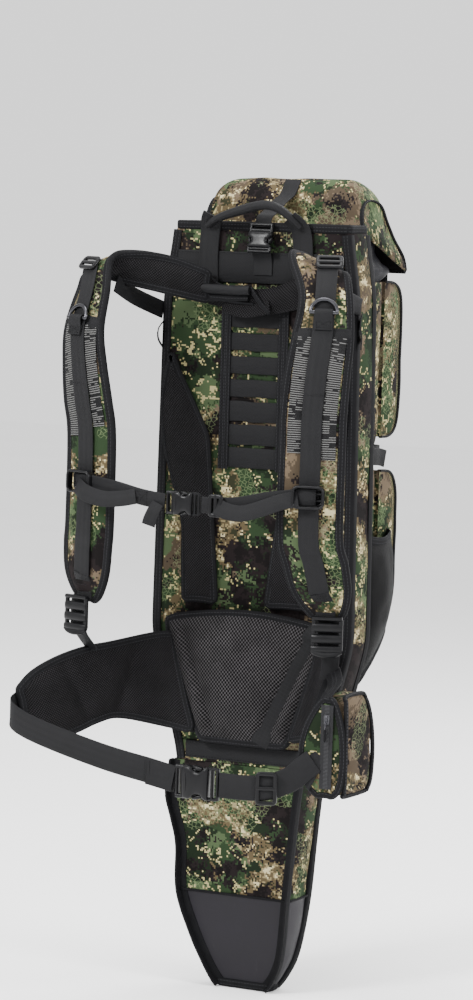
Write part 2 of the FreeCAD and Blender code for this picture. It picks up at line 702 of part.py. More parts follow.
def boot():
    """The fold-down foot of the scabbard: four walls, a coated toe and bound edges."""
    left = [("-90", "boot_seam"), ("-92", "180"), ("-109", "245"), ("-104", "boot_top")]
    right = [("80", "boot_top"), ("73", "226"), ("64", "boot_seam")]
    outline = left + right
    keep(group("boot_panels", [plate("boot_front", "XZ", outline, "-scabbard_half", "wall"),
                               plate("boot_rear", "XZ", outline, "scabbard_half - wall", "wall")]))
    depth = "2 * scabbard_half - 2 * wall"
    left_wall = left + [(f"{x} + wall", z) for x, z in reversed(left)]
    right_wall = right + [(f"{x} - wall", z) for x, z in reversed(right)]
    keep(group("boot_gussets", [plate("boot_left", "XZ", left_wall, "wall - scabbard_half", depth),
                                plate("boot_right", "XZ", right_wall, "wall - scabbard_half", depth)]))
    toe = doc.addObject("Part::Feature", "boot_toe")
    toe.Shape = boot_tube(0, 0).cut(boot_tube(dim("wall"), 4))
    keep(toe)
    y = -dim("scabbard_half") - dim("tape_thick") / 2
    edges = []
    for name, side, rows in (("left", 1, [(-104, y, 285), (-109, y, 245), (-92, y, 180), (-90, y, 123)]),
                             ("right", -1, [(80, y, 285), (73, y, 226), (64, y, 123)])):
        inward = side * dim("tape_wide")
        pairs = [((x, row_y, z), (x + inward, row_y, z)) for x, row_y, z in rows]
        edges.append(strip(f"boot_edge_{name}", pairs, dim("tape_thick")))
    keep(group("boot_bindings", edges))


def build():
    scabbard()
    stays()
    panel_trim()
    ladder()
    back_pads()
    lines = [shoulder_strap(name) for name in STRAPS]
    keep(group("strap_webbings", lines))
    glides = load_lifters()
    lower_webbings()
    grab_handle()
    rings_and_tabs()
    ladder_locks()
    hip_wings()
    glides += hip_belt()
    tapes = [hip_pocket()]
    sternum_strap()
    bag()
    keep(group("zip_tapes", tapes + front_pockets()))
    mesh_pockets()
    keep(group("triglides", glides + compression()))
    lid()
    boot()
    doc.recompute()


def export():
    """Check every object and write each sub-part's shape to its own file."""
    for item in doc.Objects:
        if "Invalid" in item.State or "Error" in item.State:
            raise RuntimeError(f"{item.Label} failed: {item.State}")
    for part in kept:
        if part.Shape.isNull() or not part.Shape.isValid() or not part.Shape.Solids:
            raise RuntimeError(f"{part.Label} has no valid solid")
    os.makedirs("parts", exist_ok=True)
    for part in kept:
        part.Shape.exportStep(f"parts/{part.Label}.step")
    print(len(kept), "sub-parts written")


build()
export()
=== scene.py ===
import bmesh
import bpy
import math
import numpy as np
from mathutils import Matrix, Vector, noise


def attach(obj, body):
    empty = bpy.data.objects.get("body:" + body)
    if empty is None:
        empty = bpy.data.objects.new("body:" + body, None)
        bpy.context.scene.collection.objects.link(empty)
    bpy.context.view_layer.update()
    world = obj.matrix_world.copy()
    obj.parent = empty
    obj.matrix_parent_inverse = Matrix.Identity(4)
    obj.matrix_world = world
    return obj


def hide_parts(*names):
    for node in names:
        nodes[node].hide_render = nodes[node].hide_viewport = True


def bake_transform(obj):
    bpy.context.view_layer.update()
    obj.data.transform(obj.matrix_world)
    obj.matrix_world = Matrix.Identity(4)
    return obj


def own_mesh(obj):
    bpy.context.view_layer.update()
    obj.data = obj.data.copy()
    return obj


# The visual model of a hunting backpack.  Shapes are written in millimetres in the
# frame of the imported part, and turned to metres when a piece is made.

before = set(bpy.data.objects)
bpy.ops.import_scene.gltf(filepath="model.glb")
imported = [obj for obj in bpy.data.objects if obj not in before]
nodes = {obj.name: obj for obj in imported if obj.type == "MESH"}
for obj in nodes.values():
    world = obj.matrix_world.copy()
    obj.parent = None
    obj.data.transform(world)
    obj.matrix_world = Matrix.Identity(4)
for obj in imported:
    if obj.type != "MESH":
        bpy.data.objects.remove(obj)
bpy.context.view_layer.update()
MM = 0.001


# ------------------------------------------------------------------ materials

# Sizes of what is woven, printed or sewn, in metres.
SPECK = 0.0021              # a square of the printed pattern
THREAD = 0.0009             # pitch of the bag cloth's threads
STITCH_PITCH = 0.0042       # along the binding tape
STITCH_PLACE = 0.0022       # either side of the tape's middle
STITCH_WIDTH = 0.00042      # half of a thread's width
REFLECT_RIB = 0.0027        # pitch of the pale ribs
REFLECT_GAP = 0.0085        # length of a worn gap
ZIP_TOOTH = 0.0016
ZIP_COIL = 0.0030           # half of the coil's width
RIPSTOP = 0.005             # pitch of the lining's thicker threads

def hexa(code):
    """A display colour such as 8a7f60 as linear RGBA."""
    values = [int(code[i:i + 2], 16) / 255 for i in (0, 2, 4)]
    return tuple(v / 12.92 if v <= 0.04045 else ((v + 0.055) / 1.055) ** 2.4 for v in values) + (1,)


class Shade:
    """A material and short names for the nodes that it uses."""

    def __init__(self, name, rough=0.8, sheen=0.0, specular=0.5, metal=0.0):
        self.mat = bpy.data.materials.new(name)
        self.mat.use_nodes = True
        self.tree = self.mat.node_tree
        self.bsdf = self.tree.nodes["Principled BSDF"]
        self.bsdf.inputs["Roughness"].default_value = rough
        self.bsdf.inputs["Sheen Weight"].default_value = sheen
        self.bsdf.inputs["Specular IOR Level"].default_value = specular
        self.bsdf.inputs["Metallic"].default_value = metal

    def put(self, socket, value):
        if isinstance(value, bpy.types.NodeSocket):
            self.tree.links.new(value, socket)
        else:
            socket.default_value = value

    def cloth(self):
        """Where a point lies on its flat cloth: across, along and the piece's own shift, in metres."""
        node = self.tree.nodes.new("ShaderNodeAttribute")
        node.attribute_name = "cloth"
        return node.outputs["Vector"]

    def place(self):
        return self.tree.nodes.new("ShaderNodeTexCoord").outputs["Object"]

    def math(self, kind, a, b=0.0, c=0.0):
        node = self.tree.nodes.new("ShaderNodeMath")
        node.operation = kind
        for socket, value in zip(node.inputs, (a, b, c)):
            self.put(socket, value)
        return node.outputs[0]

    def vector(self, kind, a, b=(0, 0, 0)):
        node = self.tree.nodes.new("ShaderNodeVectorMath")
        node.operation = kind
        self.put(node.inputs[0], a)
        if kind == "SCALE":
            self.put(node.inputs["Scale"], b)
        elif kind not in ("LENGTH", "FRACTION", "SINE"):
            self.put(node.inputs[1], b)
        return node.outputs["Value" if kind == "LENGTH" else "Vector"]

    def parts(self, vector):
        node = self.tree.nodes.new("ShaderNodeSeparateXYZ")
        self.put(node.inputs[0], vector)
        return node.outputs

    def join(self, x, y, ratio):
        """A flat vector of x and y, with y stretched by ratio."""
        node = self.tree.nodes.new("ShaderNodeCombineXYZ")
        self.put(node.inputs[0], x)
        self.put(node.inputs[1], self.math("MULTIPLY", y, ratio))
        return node.outputs[0]

    def noise(self, vector, scale, detail=2.0, rough=0.5, shift=(0, 0, 0)):
        node = self.tree.nodes.new("ShaderNodeTexNoise")
        self.put(node.inputs["Vector"], self.vector("ADD", vector, shift))
        node.inputs["Scale"].default_value = scale
        node.inputs["Detail"].default_value = detail
        node.inputs["Roughness"].default_value = rough
        return node.outputs["Fac"]

    def grain(self, vector):
        node = self.tree.nodes.new("ShaderNodeTexWhiteNoise")
        self.put(node.inputs["Vector"], vector)
        return node.outputs["Value"]

    def cells(self, vector, scale, feature="F1"):
        node = self.tree.nodes.new("ShaderNodeTexVoronoi")
        node.feature = feature
        self.put(node.inputs["Vector"], vector)
        node.inputs["Scale"].default_value = scale
        return node.outputs["Distance"]

    def between(self, value, low, high):
        """0 below low, 1 above high, smooth between them."""
        node = self.tree.nodes.new("ShaderNodeMapRange")
        node.interpolation_type = "SMOOTHSTEP"
        self.put(node.inputs["Value"], value)
        node.inputs["From Min"].default_value = low
        node.inputs["From Max"].default_value = high
        return node.outputs["Result"]

    def mix(self, share, a, b):
        node = self.tree.nodes.new("ShaderNodeMix")
        node.data_type = "RGBA"
        self.put(node.inputs["Factor"], share)
        self.put(node.inputs["A"], a)
        self.put(node.inputs["B"], b)
        return node.outputs["Result"]

    def wave(self, value, pitch):
        """A wave from 0 to 1 along a length, in metres."""
        turn = self.math("MULTIPLY", value, 2 * math.pi / pitch)
        return self.math("MULTIPLY_ADD", self.math("SINE", turn), 0.5, 0.5)

    def done(self, colour, height=None, depth=0.3, rough=None, step=0.0004):
        self.put(self.bsdf.inputs["Base Color"], colour)
        if rough is not None:
            self.put(self.bsdf.inputs["Roughness"], rough)
        if height is not None:
            bump = self.tree.nodes.new("ShaderNodeBump")
            bump.inputs["Strength"].default_value = depth
            bump.inputs["Distance"].default_value = step
            self.put(bump.inputs["Height"], height)
            self.put(self.bsdf.inputs["Normal"], bump.outputs["Normal"])
        return self.mat


def weave(s, p, pitch):
    """A plain weave's height, from threads that cross over and under."""
    x, y, _ = s.parts(p)
    a, b = s.wave(x, pitch), s.wave(y, pitch)
    return s.math("MULTIPLY", s.math("ADD", a, b), 0.5)


def camo_material():
    """A printed camouflage of square specks: sand and bark grounds, leafy patches and near-black blotches."""
    s = Shade("camo_print", 0.88, 0.0, 0.06)
    p = s.cloth()
    q = s.vector("SNAP", p, (SPECK, SPECK, 0.001))
    speck = s.math("MULTIPLY_ADD", s.grain(q), 0.11, -0.055)

    def field(scale, shift, detail=4.0, rough=0.6, dither=1.0):
        return s.math("MULTIPLY_ADD", speck, dither, s.noise(q, scale, detail, rough, shift))

    def patch(value, edge):
        return s.math("GREATER_THAN", value, edge)

    fine = field(70, (3.1, 0, 0), 3.0, 0.7, 1.6)
    sand = s.mix(patch(fine, 0.5), hexa("4c422f"), hexa("7a6e51"))
    sand = s.mix(patch(fine, 0.58), sand, hexa("b0a580"))
    sand = s.mix(patch(field(52, (0, 9.4, 0), 4.0, 0.75), 0.555), sand, hexa("26271a"))
    taupe = s.mix(patch(field(40, (5.5, 2.2, 0)), 0.53), hexa("3f362b"), hexa("574b3d"))
    ground = s.mix(patch(field(12, (1.7, 8.3, 0), 3.0, 0.55, 0.5), 0.52), sand, taupe)
    green = s.mix(patch(field(26, (7.7, 4.1, 0), 3.0, 0.55, 0.5), 0.47), hexa("141d12"), hexa("212f1d"))
    green = s.mix(patch(field(19, (2.9, 6.6, 0), 3.0, 0.55, 0.5), 0.575), green, hexa("3d4a32"))
    vein = s.math("ABSOLUTE", s.math("SUBTRACT", s.noise(q, 34, 3.0, 0.55, (8.8, 1.2, 0)), 0.5))
    green = s.mix(s.math("LESS_THAN", vein, 0.011), green, hexa("958c64"))
    colour = s.mix(patch(field(9.5, (4.4, 3.3, 0), 4.0, 0.6, 0.4), 0.49), ground, green)
    dark = s.mix(patch(field(60, (6.1, 5.2, 0)), 0.5), hexa("0d0a0b"), hexa("181314"))
    colour = s.mix(patch(field(12, (9.9, 7.1, 0), 4.0, 0.62, 0.6), 0.545), colour, dark)
    comb = s.cells(s.vector("MULTIPLY", p, (1, 1.15, 0)), 175, "DISTANCE_TO_EDGE")
    lit = s.math("MULTIPLY", s.math("LESS_THAN", comb, 0.06),
                 patch(s.noise(p, 13, 1.0, 0.5, (2, 7, 0)), 0.57))
    colour = s.mix(s.math("MULTIPLY", lit, 0.25), colour, hexa("86946a"))
    cloth = weave(s, p, THREAD)
    colour = s.mix(s.math("MULTIPLY_ADD", cloth, -0.22, 0.22), colour, hexa("15140f"))
    soft = s.noise(p, 9, 3.0, 0.6)
    height = s.math("MULTIPLY_ADD", soft, 3.0, cloth)
    return s.done(colour, height, 0.35, s.math("MULTIPLY_ADD", soft, 0.22, 0.66))


def webbing_material(name, dark, light, across=0.0011, along=0.0017, rough=0.62):
    """Woven nylon: fine lines along its length and flatter ribs across it."""
    s = Shade(name, rough, 0.0, 0.12)
    p = s.cloth()
    x, y, _ = s.parts(p)
    slant = s.math("MULTIPLY_ADD", s.math("PINGPONG", x, 0.004), 0.8, y)
    rib = s.math("MULTIPLY", s.wave(slant, along), s.math("MULTIPLY_ADD", s.wave(x, across), 0.6, 0.4))
    worn = s.noise(p, 60, 4.0, 0.65)
    share = s.math("MULTIPLY_ADD", rib, 0.6, s.math("MULTIPLY_ADD", worn, 0.5, -0.1))
    colour = s.mix(share, hexa(dark), hexa(light))
    return s.done(colour, rib, 0.55, s.math("MULTIPLY_ADD", worn, 0.25, rough - 0.12), 0.0005)


def tape_material():
    """Grosgrain binding with a row of stitches down its middle."""
    s = Shade("binding_tape", 0.8, 0.0, 0.07)
    p = s.cloth()
    x, y, _ = s.parts(p)
    rib = s.wave(y, 0.0012)
    from_row = s.math("SUBTRACT", s.math("ABSOLUTE", x), STITCH_PLACE)
    on_line = s.math("LESS_THAN", s.math("ABSOLUTE", from_row), STITCH_WIDTH)
    dash = s.math("LESS_THAN", s.math("FRACT", s.math("MULTIPLY", y, 1 / STITCH_PITCH)), 0.66)
    stitch = s.math("MULTIPLY", on_line, dash)
    worn = s.noise(p, 85, 4.0, 0.7)
    share = s.math("MULTIPLY_ADD", rib, 0.35, s.math("MULTIPLY_ADD", worn, 0.7, -0.15))
    base = s.mix(share, hexa("070708"), hexa("1a1a1c"))
    colour = s.mix(stitch, base, hexa("252527"))
    height = s.math("ADD", s.math("MULTIPLY", rib, 0.5), stitch)
    return s.done(colour, height, 0.6, s.math("MULTIPLY_ADD", worn, 0.2, 0.65), 0.0005)


def holes(s, p, across, along):
    """Distance from the nearest point of a staggered lattice, 0 at a hole's middle."""
    flat = s.vector("MULTIPLY", p, (1 / across, 1 / along, 0))
    reach = []
    for shift in ((0, 0, 0), (0.5, 0.5, 0)):
        cell = s.vector("SUBTRACT", s.vector("FRACTION", s.vector("ADD", flat, shift)), (0.5, 0.5, 0))
        x, y, _ = s.parts(cell)
        reach.append(s.vector("LENGTH", s.join(x, y, along / across)))
    return s.math("MINIMUM", *reach)


def mesh_material(name, across, along, dark, light, hole=0.2, rough=0.78):
    """Knitted spacer mesh: dark holes in rows between thicker yarns."""
    s = Shade(name, rough, 0.0, 0.1)
    p = s.cloth()
    d = holes(s, p, across, along)
    yarn = s.between(d, hole, hole + 0.17)
    x, y, _ = s.parts(p)
    twist = s.wave(s.math("ADD", x, y), 0.0009)
    worn = s.noise(p, 30, 4.0, 0.6)
    light_share = s.math("MULTIPLY_ADD", twist, 0.35, s.math("MULTIPLY_ADD", worn, 0.9, -0.1))
    colour = s.mix(yarn, hexa("020202"), s.mix(light_share, hexa(dark), hexa(light)))
    height = s.math("MULTIPLY_ADD", twist, 0.15, yarn)
    return s.done(colour, height, 0.9, s.math("MULTIPLY_ADD", worn, 0.2, rough - 0.1), 0.0012)


def reflective_material():
    """Pale ribs woven across a black ground, worn through in places."""
    s = Shade("reflective_ribs", 0.6, 0.0, 0.1)
    p = s.cloth()
    x, y, _ = s.parts(p)
    bar = s.math("LESS_THAN", s.math("FRACT", s.math("MULTIPLY", y, 1 / REFLECT_RIB)), 0.42)
    cell = s.vector("SNAP", p, (REFLECT_GAP, REFLECT_RIB, 0.001))
    worn = s.math("GREATER_THAN", s.math("MULTIPLY_ADD", s.noise(p, 40, 2.0, 0.5), 2.4, s.grain(cell)), 1.3)
    thread = s.wave(x, 0.0008)
    light = s.mix(thread, hexa("3c3c3c"), hexa("696967"))
    colour = s.mix(s.math("MULTIPLY", bar, worn), s.mix(thread, hexa("080809"), hexa("161617")), light)
    return s.done(colour, s.math("ADD", bar, thread), 0.5, 0.5, 0.0005)


def plastic_material(name="buckle_plastic", dark="050506", light="111113", rough=0.34):
    """Moulded nylon: a fine grain, faint flow marks and paler rubbed edges."""
    s = Shade(name, rough, 0.0, 0.16)
    p = s.place()
    grain = s.noise(p, 2400, 2.0, 0.5)
    flow = s.noise(p, 55, 3.0, 0.6)
    edge = s.tree.nodes.new("ShaderNodeNewGeometry").outputs["Pointiness"]
    rubbed = s.between(edge, 0.56, 0.72)
    colour = s.mix(flow, hexa(dark), hexa(light))
    colour = s.mix(s.math("MULTIPLY", rubbed, 0.35), colour, hexa("2c2c2f"))
    return s.done(colour, grain, 0.16, s.math("MULTIPLY_ADD", flow, 0.3, rough - 0.14), 0.0003)


def metal_material(name, dark, light, rough):
    """Metal with fine scratches along one direction and cloudy wear."""
    s = Shade(name, rough, 0.0, 0.5, 1.0)
    p = s.place()
    scratch = s.noise(s.vector("MULTIPLY", p, (1, 14, 1)), 420, 4.0, 0.7)
    cloud = s.noise(p, 70, 3.0, 0.6)
    share = s.math("MULTIPLY_ADD", scratch, 0.4, s.math("MULTIPLY", cloud, 0.6))
    colour = s.mix(share, hexa(dark), hexa(light))
    return s.done(colour, scratch, 0.12, s.math("MULTIPLY_ADD", cloud, 0.3, rough - 0.12), 0.0002)


def coated_material():
    """Coated cloth at the toe: a soft dull film over a fine pebble grain."""
    s = Shade("coated_cloth", 0.5, 0.0, 0.14)
    p = s.cloth()
    grain = s.cells(p, 1300)
    cloud = s.noise(p, 16, 4.0, 0.6)
    scuff = s.between(s.noise(s.vector("MULTIPLY", p, (1, 0.2, 1)), 120, 5.0, 0.7), 0.6, 0.75)
    colour = s.mix(cloud, hexa("141316"), hexa("1e1c21"))
    colour = s.mix(s.math("MULTIPLY", scuff, 0.3), colour, hexa("333136"))
    height = s.math("MULTIPLY_ADD", cloud, 2.0, grain)
    return s.done(colour, height, 0.3, s.math("MULTIPLY_ADD", cloud, 0.3, 0.36), 0.0004)


def nylon_material(name, dark, light, rough):
    """Thin coated nylon with a fine grid of thicker threads."""
    s = Shade(name, rough, 0.0, 0.12)
    p = s.cloth()
    x, y, _ = s.parts(p)
    grid = s.math("MAXIMUM", *[s.between(s.wave(v, RIPSTOP), 0.93, 1.0) for v in (x, y)])
    cloud = s.noise(p, 22, 4.0, 0.6)
    share = s.math("MULTIPLY_ADD", grid, 0.35, s.math("MULTIPLY", cloud, 0.7))
    colour = s.mix(share, hexa(dark), hexa(light))
    height = s.math("ADD", weave(s, p, 0.0007), s.math("ADD", grid, s.math("MULTIPLY", cloud, 2.5)))
    return s.done(colour, height, 0.35, s.math("MULTIPLY_ADD", cloud, 0.3, rough - 0.12))


def zip_material():
    """Zip tape with a raised coil down its middle."""
    s = Shade("zip_tape", 0.6, 0.0, 0.1)
    p = s.cloth()
    x, y, _ = s.parts(p)
    middle = s.math("LESS_THAN", s.math("ABSOLUTE", x), ZIP_COIL)
    tooth = s.wave(y, ZIP_TOOTH)
    knit = s.wave(s.math("ADD", x, y), 0.0011)
    tape = s.mix(knit, hexa("121213"), hexa("262628"))
    colour = s.mix(middle, tape, s.mix(tooth, hexa("0b0b0c"), hexa("3a3a3c")))
    height = s.math("MULTIPLY_ADD", middle, s.math("MULTIPLY_ADD", tooth, 1.2, 1.0),
                    s.math("MULTIPLY", knit, 0.3))
    return s.done(colour, height, 0.8, s.math("MULTIPLY_ADD", tooth, -0.15, 0.62), 0.0008)


def floor_material():
    """A pale studio floor with the faintest cloud in it."""
    s = Shade("pale_floor", 0.9, 0.0, 0.2)
    cloud = s.noise(s.place(), 2.0, 3.0, 0.5)
    return s.done(s.mix(cloud, hexa("f6f6f6"), hexa("fcfcfc")), s.noise(s.place(), 300), 0.02)


CAMO = camo_material()
WEB = webbing_material("woven_webbing", "070708", "1f1f21")
BAND = webbing_material("woven_band", "060607", "1b1b1d", 0.0016, 0.0021, 0.66)
TAPE = tape_material()
DIM_MESH = mesh_material("fine_mesh", 0.0036, 0.0036, "0a0a0b", "302e31", 0.22)
MESH = mesh_material("spacer_mesh", 0.0046, 0.0046, "0c0c0d", "514e50", 0.22)
NET = mesh_material("stretch_mesh", 0.0030, 0.0036, "030304", "121214", 0.22, 0.62)
REFLECT = reflective_material()
PLASTIC = plastic_material()
RING = metal_material("ring_metal", "151517", "5a5a5e", 0.3)
ALLOY = metal_material("bare_aluminium", "8f9093", "c3c4c6", 0.42)
BOARD = plastic_material("stiff_sheet", "0d0d0e", "18181a", 0.55)
COATED = coated_material()
LINING = nylon_material("lining_cloth", "080809", "18181a", 0.6)
SHINY = nylon_material("collar_cloth", "060608", "1d1d22", 0.36)
ZIP = zip_material()
FLOOR = floor_material()

# The material slot that a piece looks up from its first material, unless it names another.
SLOTS = {CAMO: "camo_fabric", WEB: "black_webbing", BAND: "black_webbing", REFLECT: "black_webbing",
         TAPE: "black_tape", DIM_MESH: "spacer_mesh", MESH: "spacer_mesh", NET: "stretch_mesh",
         COATED: "coated_fabric", LINING: "lining_fabric", SHINY: "lining_fabric",
         PLASTIC: "black_plastic", RING: "zip_metal", ZIP: "zip_tape"}


# ------------------------------------------------------------------ shape tools

def unit(a):
    a = np.asarray(a, float)
    return a / np.maximum(np.linalg.norm(a, axis=-1, keepdims=True), 1e-9)


def spline(points, steps=6, closed=False):
    """A smooth line through points of any dimension."""
    p = np.array(points, float)
    if closed:
        p = np.vstack([p[-1:], p, p[:2]])
    else:
        p = np.vstack([2 * p[0] - p[1], p, 2 * p[-1] - p[-2]])
    out = []
    for i in range(1, len(p) - 2):
        a, b, c, d = p[i - 1:i + 3]
        for k in range(steps):
            t = k / steps
            out.append(0.5 * (2 * b + (c - a) * t + (2 * a - 5 * b + 4 * c - d) * t * t
                              + (3 * b - a - 3 * c + d) * t ** 3))
    if not closed:
        out.append(p[-2])
    return np.array(out)


def lengths(line):
    """The distance along a line at each of its points."""
    return np.concatenate([[0], np.cumsum(np.linalg.norm(np.diff(line, axis=0), axis=1))])


def even(line, gap):
    """The same line with points a given distance apart."""
    s = lengths(line)
    at = np.linspace(0, s[-1], max(2, int(round(s[-1] / gap)) + 1))
    return np.stack([np.interp(at, s, line[:, k]) for k in range(line.shape[1])], 1)


def lattice(rows, cols, wrap_cols=False, wrap_rows=False):
    """The quads of a grid of vertices that is stored row by row."""
    faces = []
    for i in range(rows if wrap_rows else rows - 1):
        for j in range(cols if wrap_cols else cols - 1):
            a, b = i * cols, (i + 1) % rows * cols
            k = (j + 1) % cols
            faces.append((a + j, a + k, b + k, b + j))
    return faces


class Kit:
    """Surfaces that are collected into one mesh."""
    seeds = 0

    def __init__(self):
        self.verts, self.faces, self.mats, self.cloth = [], [], [], []

    def add(self, verts, faces, cloth=None, mat=0):
        base = len(self.verts)
        Kit.seeds += 1
        shift = 0.73 * (Kit.seeds % 41) + 0.0005
        verts = np.asarray(verts, float)
        cloth = verts[:, [0, 2]] if cloth is None else np.asarray(cloth, float)
        self.verts += verts.tolist()
        self.cloth += [(u * MM, v * MM, shift) for u, v in cloth]
        self.faces += [tuple(base + i for i in f) for f in faces]
        self.mats += list(mat) if hasattr(mat, "__len__") else [mat] * len(faces)
        return range(base, len(self.verts))

    def piece(self, name, mats, body="pack", replaces=(), slot=None, fill=None, angle=50,
              level=0, ride=True, thick=None):
        """One object made of what was collected, with its materials and what it stands for.

        angle is the sharpest edge that is shaded smooth, in degrees; level adds subdivision;
        thick gives an open sheet its thickness, in millimetres, with the last material inside.
        """
        mesh = bpy.data.meshes.new(name)
        mesh.from_pydata([tuple(c * MM for c in v) for v in self.verts], [], self.faces)
        data = mesh.attributes.new("cloth", "FLOAT_VECTOR", "POINT")
        data.data.foreach_set("vector", np.array(self.cloth, np.float32).ravel())
        for mat in mats:
            mesh.materials.append(mat)
        mesh.polygons.foreach_set("material_index", self.mats)
        form = bmesh.new()
        form.from_mesh(mesh)
        bmesh.ops.recalc_face_normals(form, faces=form.faces)
        form.to_mesh(mesh)
        form.free()
        mesh.polygons.foreach_set("use_smooth", [True] * len(mesh.polygons))
        mesh.set_sharp_from_angle(angle=math.radians(angle))
        obj = bpy.data.objects.new(name, mesh)
        bpy.context.scene.collection.objects.link(obj)
        if thick:
            shell = obj.modifiers.new("shell", "SOLIDIFY")
            shell.thickness = thick * MM
            shell.offset = -1
            shell.material_offset = len(mats) - 1
        if level:
            fine = obj.modifiers.new("fine", "SUBSURF")
            fine.levels = fine.render_levels = level
        slot = slot or SLOTS.get(mats[0])
        if replaces:
            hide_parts(*replaces)
        if ride:
            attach(obj, body)
        return obj


def frames(line, across):
    """Tangent, width direction and normal at each point of a line."""
    along = unit(np.gradient(line, axis=0))
    wide = np.broadcast_to(np.asarray(across, float), line.shape)
    wide = unit(wide - (wide * along).sum(1, keepdims=True) * along)
    return along, wide, np.cross(along, wide)


def tape_section(width, thick):
    """A flat section with rounded edges: (across, out) pairs in order."""
    r = thick / 2
    points = []
    for side in (1, -1):
        for a in np.linspace(-math.pi / 2, math.pi / 2, 5):
            points.append((side * (width / 2 - r + r * math.cos(a)), side * r * math.sin(a)))
    return np.array(points)


def round_section(width, thick, count=12, power=2.0):
    """An ellipse, squarer as power goes above 2."""
    a = np.linspace(0, 2 * math.pi, count, endpoint=False)
    c, s = np.cos(a), np.sin(a)
    return np.stack([width / 2 * np.sign(c) * np.abs(c) ** (2 / power),
                     thick / 2 * np.sign(s) * np.abs(s) ** (2 / power)], 1)


def sweep(kit, line, across, section, mat=0, closed=False, size=None, caps=True):
    """A section carried along a line; size scales it at each point."""
    line = np.asarray(line, float)
    if closed:
        ring = np.vstack([line[-1:], line, line[:1]])
        wide = np.broadcast_to(np.asarray(across, float), line.shape)
        _, wide, out = frames(ring, np.vstack([wide[-1:], wide, wide[:1]]))
        wide, out = wide[1:-1], out[1:-1]
    else:
        _, wide, out = frames(line, across)
    rows, cols = len(line), len(section)
    size = np.ones(rows) if size is None else size
    verts = (line[:, None] + wide[:, None] * section[None, :, :1] * size[:, None, None]
             + out[:, None] * section[None, :, 1:] * size[:, None, None])
    cloth = np.zeros((rows, cols, 2))
    cloth[:, :, 0] = section[None, :, 0]
    cloth[:, :, 1] = lengths(line)[:, None]
    faces = lattice(rows, cols, True, closed)
    if caps and not closed:
        faces += [tuple(range(cols))[::-1], tuple((rows - 1) * cols + k for k in range(cols))]
    kit.add(verts.reshape(-1, 3), faces, cloth.reshape(-1, 2), mat)
    return wide, out


def web(kit, points, across, width, thick=1.6, mat=0, steps=6, gap=4.0):
    """Webbing through points, smooth between them."""
    if np.ndim(across) > 1:
        both = even(spline(np.hstack([np.array(points, float), np.array(across, float)]), steps), gap)
        line, across = both[:, :3], both[:, 3:]
    else:
        line = even(spline(points, steps), gap)
    return sweep(kit, line, across, tape_section(width, thick), mat)


def tube(kit, points, radius, mat=0, steps=6, gap=2.0, closed=False, count=12, across=(0, 0, 1)):
    line = spline(points, steps, closed)
    if not closed:
        line = even(line, gap)
    sweep(kit, line, across, round_section(2 * radius, 2 * radius, count), mat, closed)


def stitches(kit, line, out, mat=0, pitch=4.0, long=2.6, wide=0.8):
    """A row of raised stitches on a line."""
    line = even(np.asarray(line, float), pitch)
    along = unit(np.gradient(line, axis=0))
    out = np.broadcast_to(np.asarray(out, float), line.shape)
    side = unit(np.cross(along, out))
    for p, t, n, a in zip(line, along, out, side):
        ring = []
        for s, k in ((-0.5, 0.25), (-0.25, 1), (0.25, 1), (0.5, 0.25)):
            c = p + t * long * s + n * 0.12 * k
            ring += [c + a * wide / 2 * k, c + n * 0.35 * k, c - a * wide / 2 * k, c - n * 0.3]
        kit.add(ring, lattice(4, 4, True) + [(3, 2, 1, 0), (12, 13, 14, 15)],
                [(0, 0)] * 16, mat)


def box_stitch(kit, middle, u, v, out, half_u, half_v, mat=0):
    """A stitched rectangle with a cross in it."""
    middle, u, v = (np.array(x, float) for x in (middle, u, v))
    c = [middle + u * half_u * a + v * half_v * b for a, b in ((-1, -1), (1, -1), (1, 1), (-1, 1))]
    for a, b in ((0, 1), (1, 2), (2, 3), (3, 0), (0, 2), (1, 3)):
        stitches(kit, [c[a], c[b]], out, mat, 3.4, 2.3, 0.7)


def fold_noise(points, amount, scale, seed=0.0, stretch=(1, 1, 1)):
    """A soft random height at each point, from -amount to amount."""
    s = np.array(stretch, float) / scale
    return np.array([noise.noise(Vector((p[0] * s[0] + seed, p[1] * s[1] - seed, p[2] * s[2] + 2 * seed)))
                     for p in np.asarray(points).reshape(-1, 3)]).reshape(np.shape(points)[:-1]) * amount


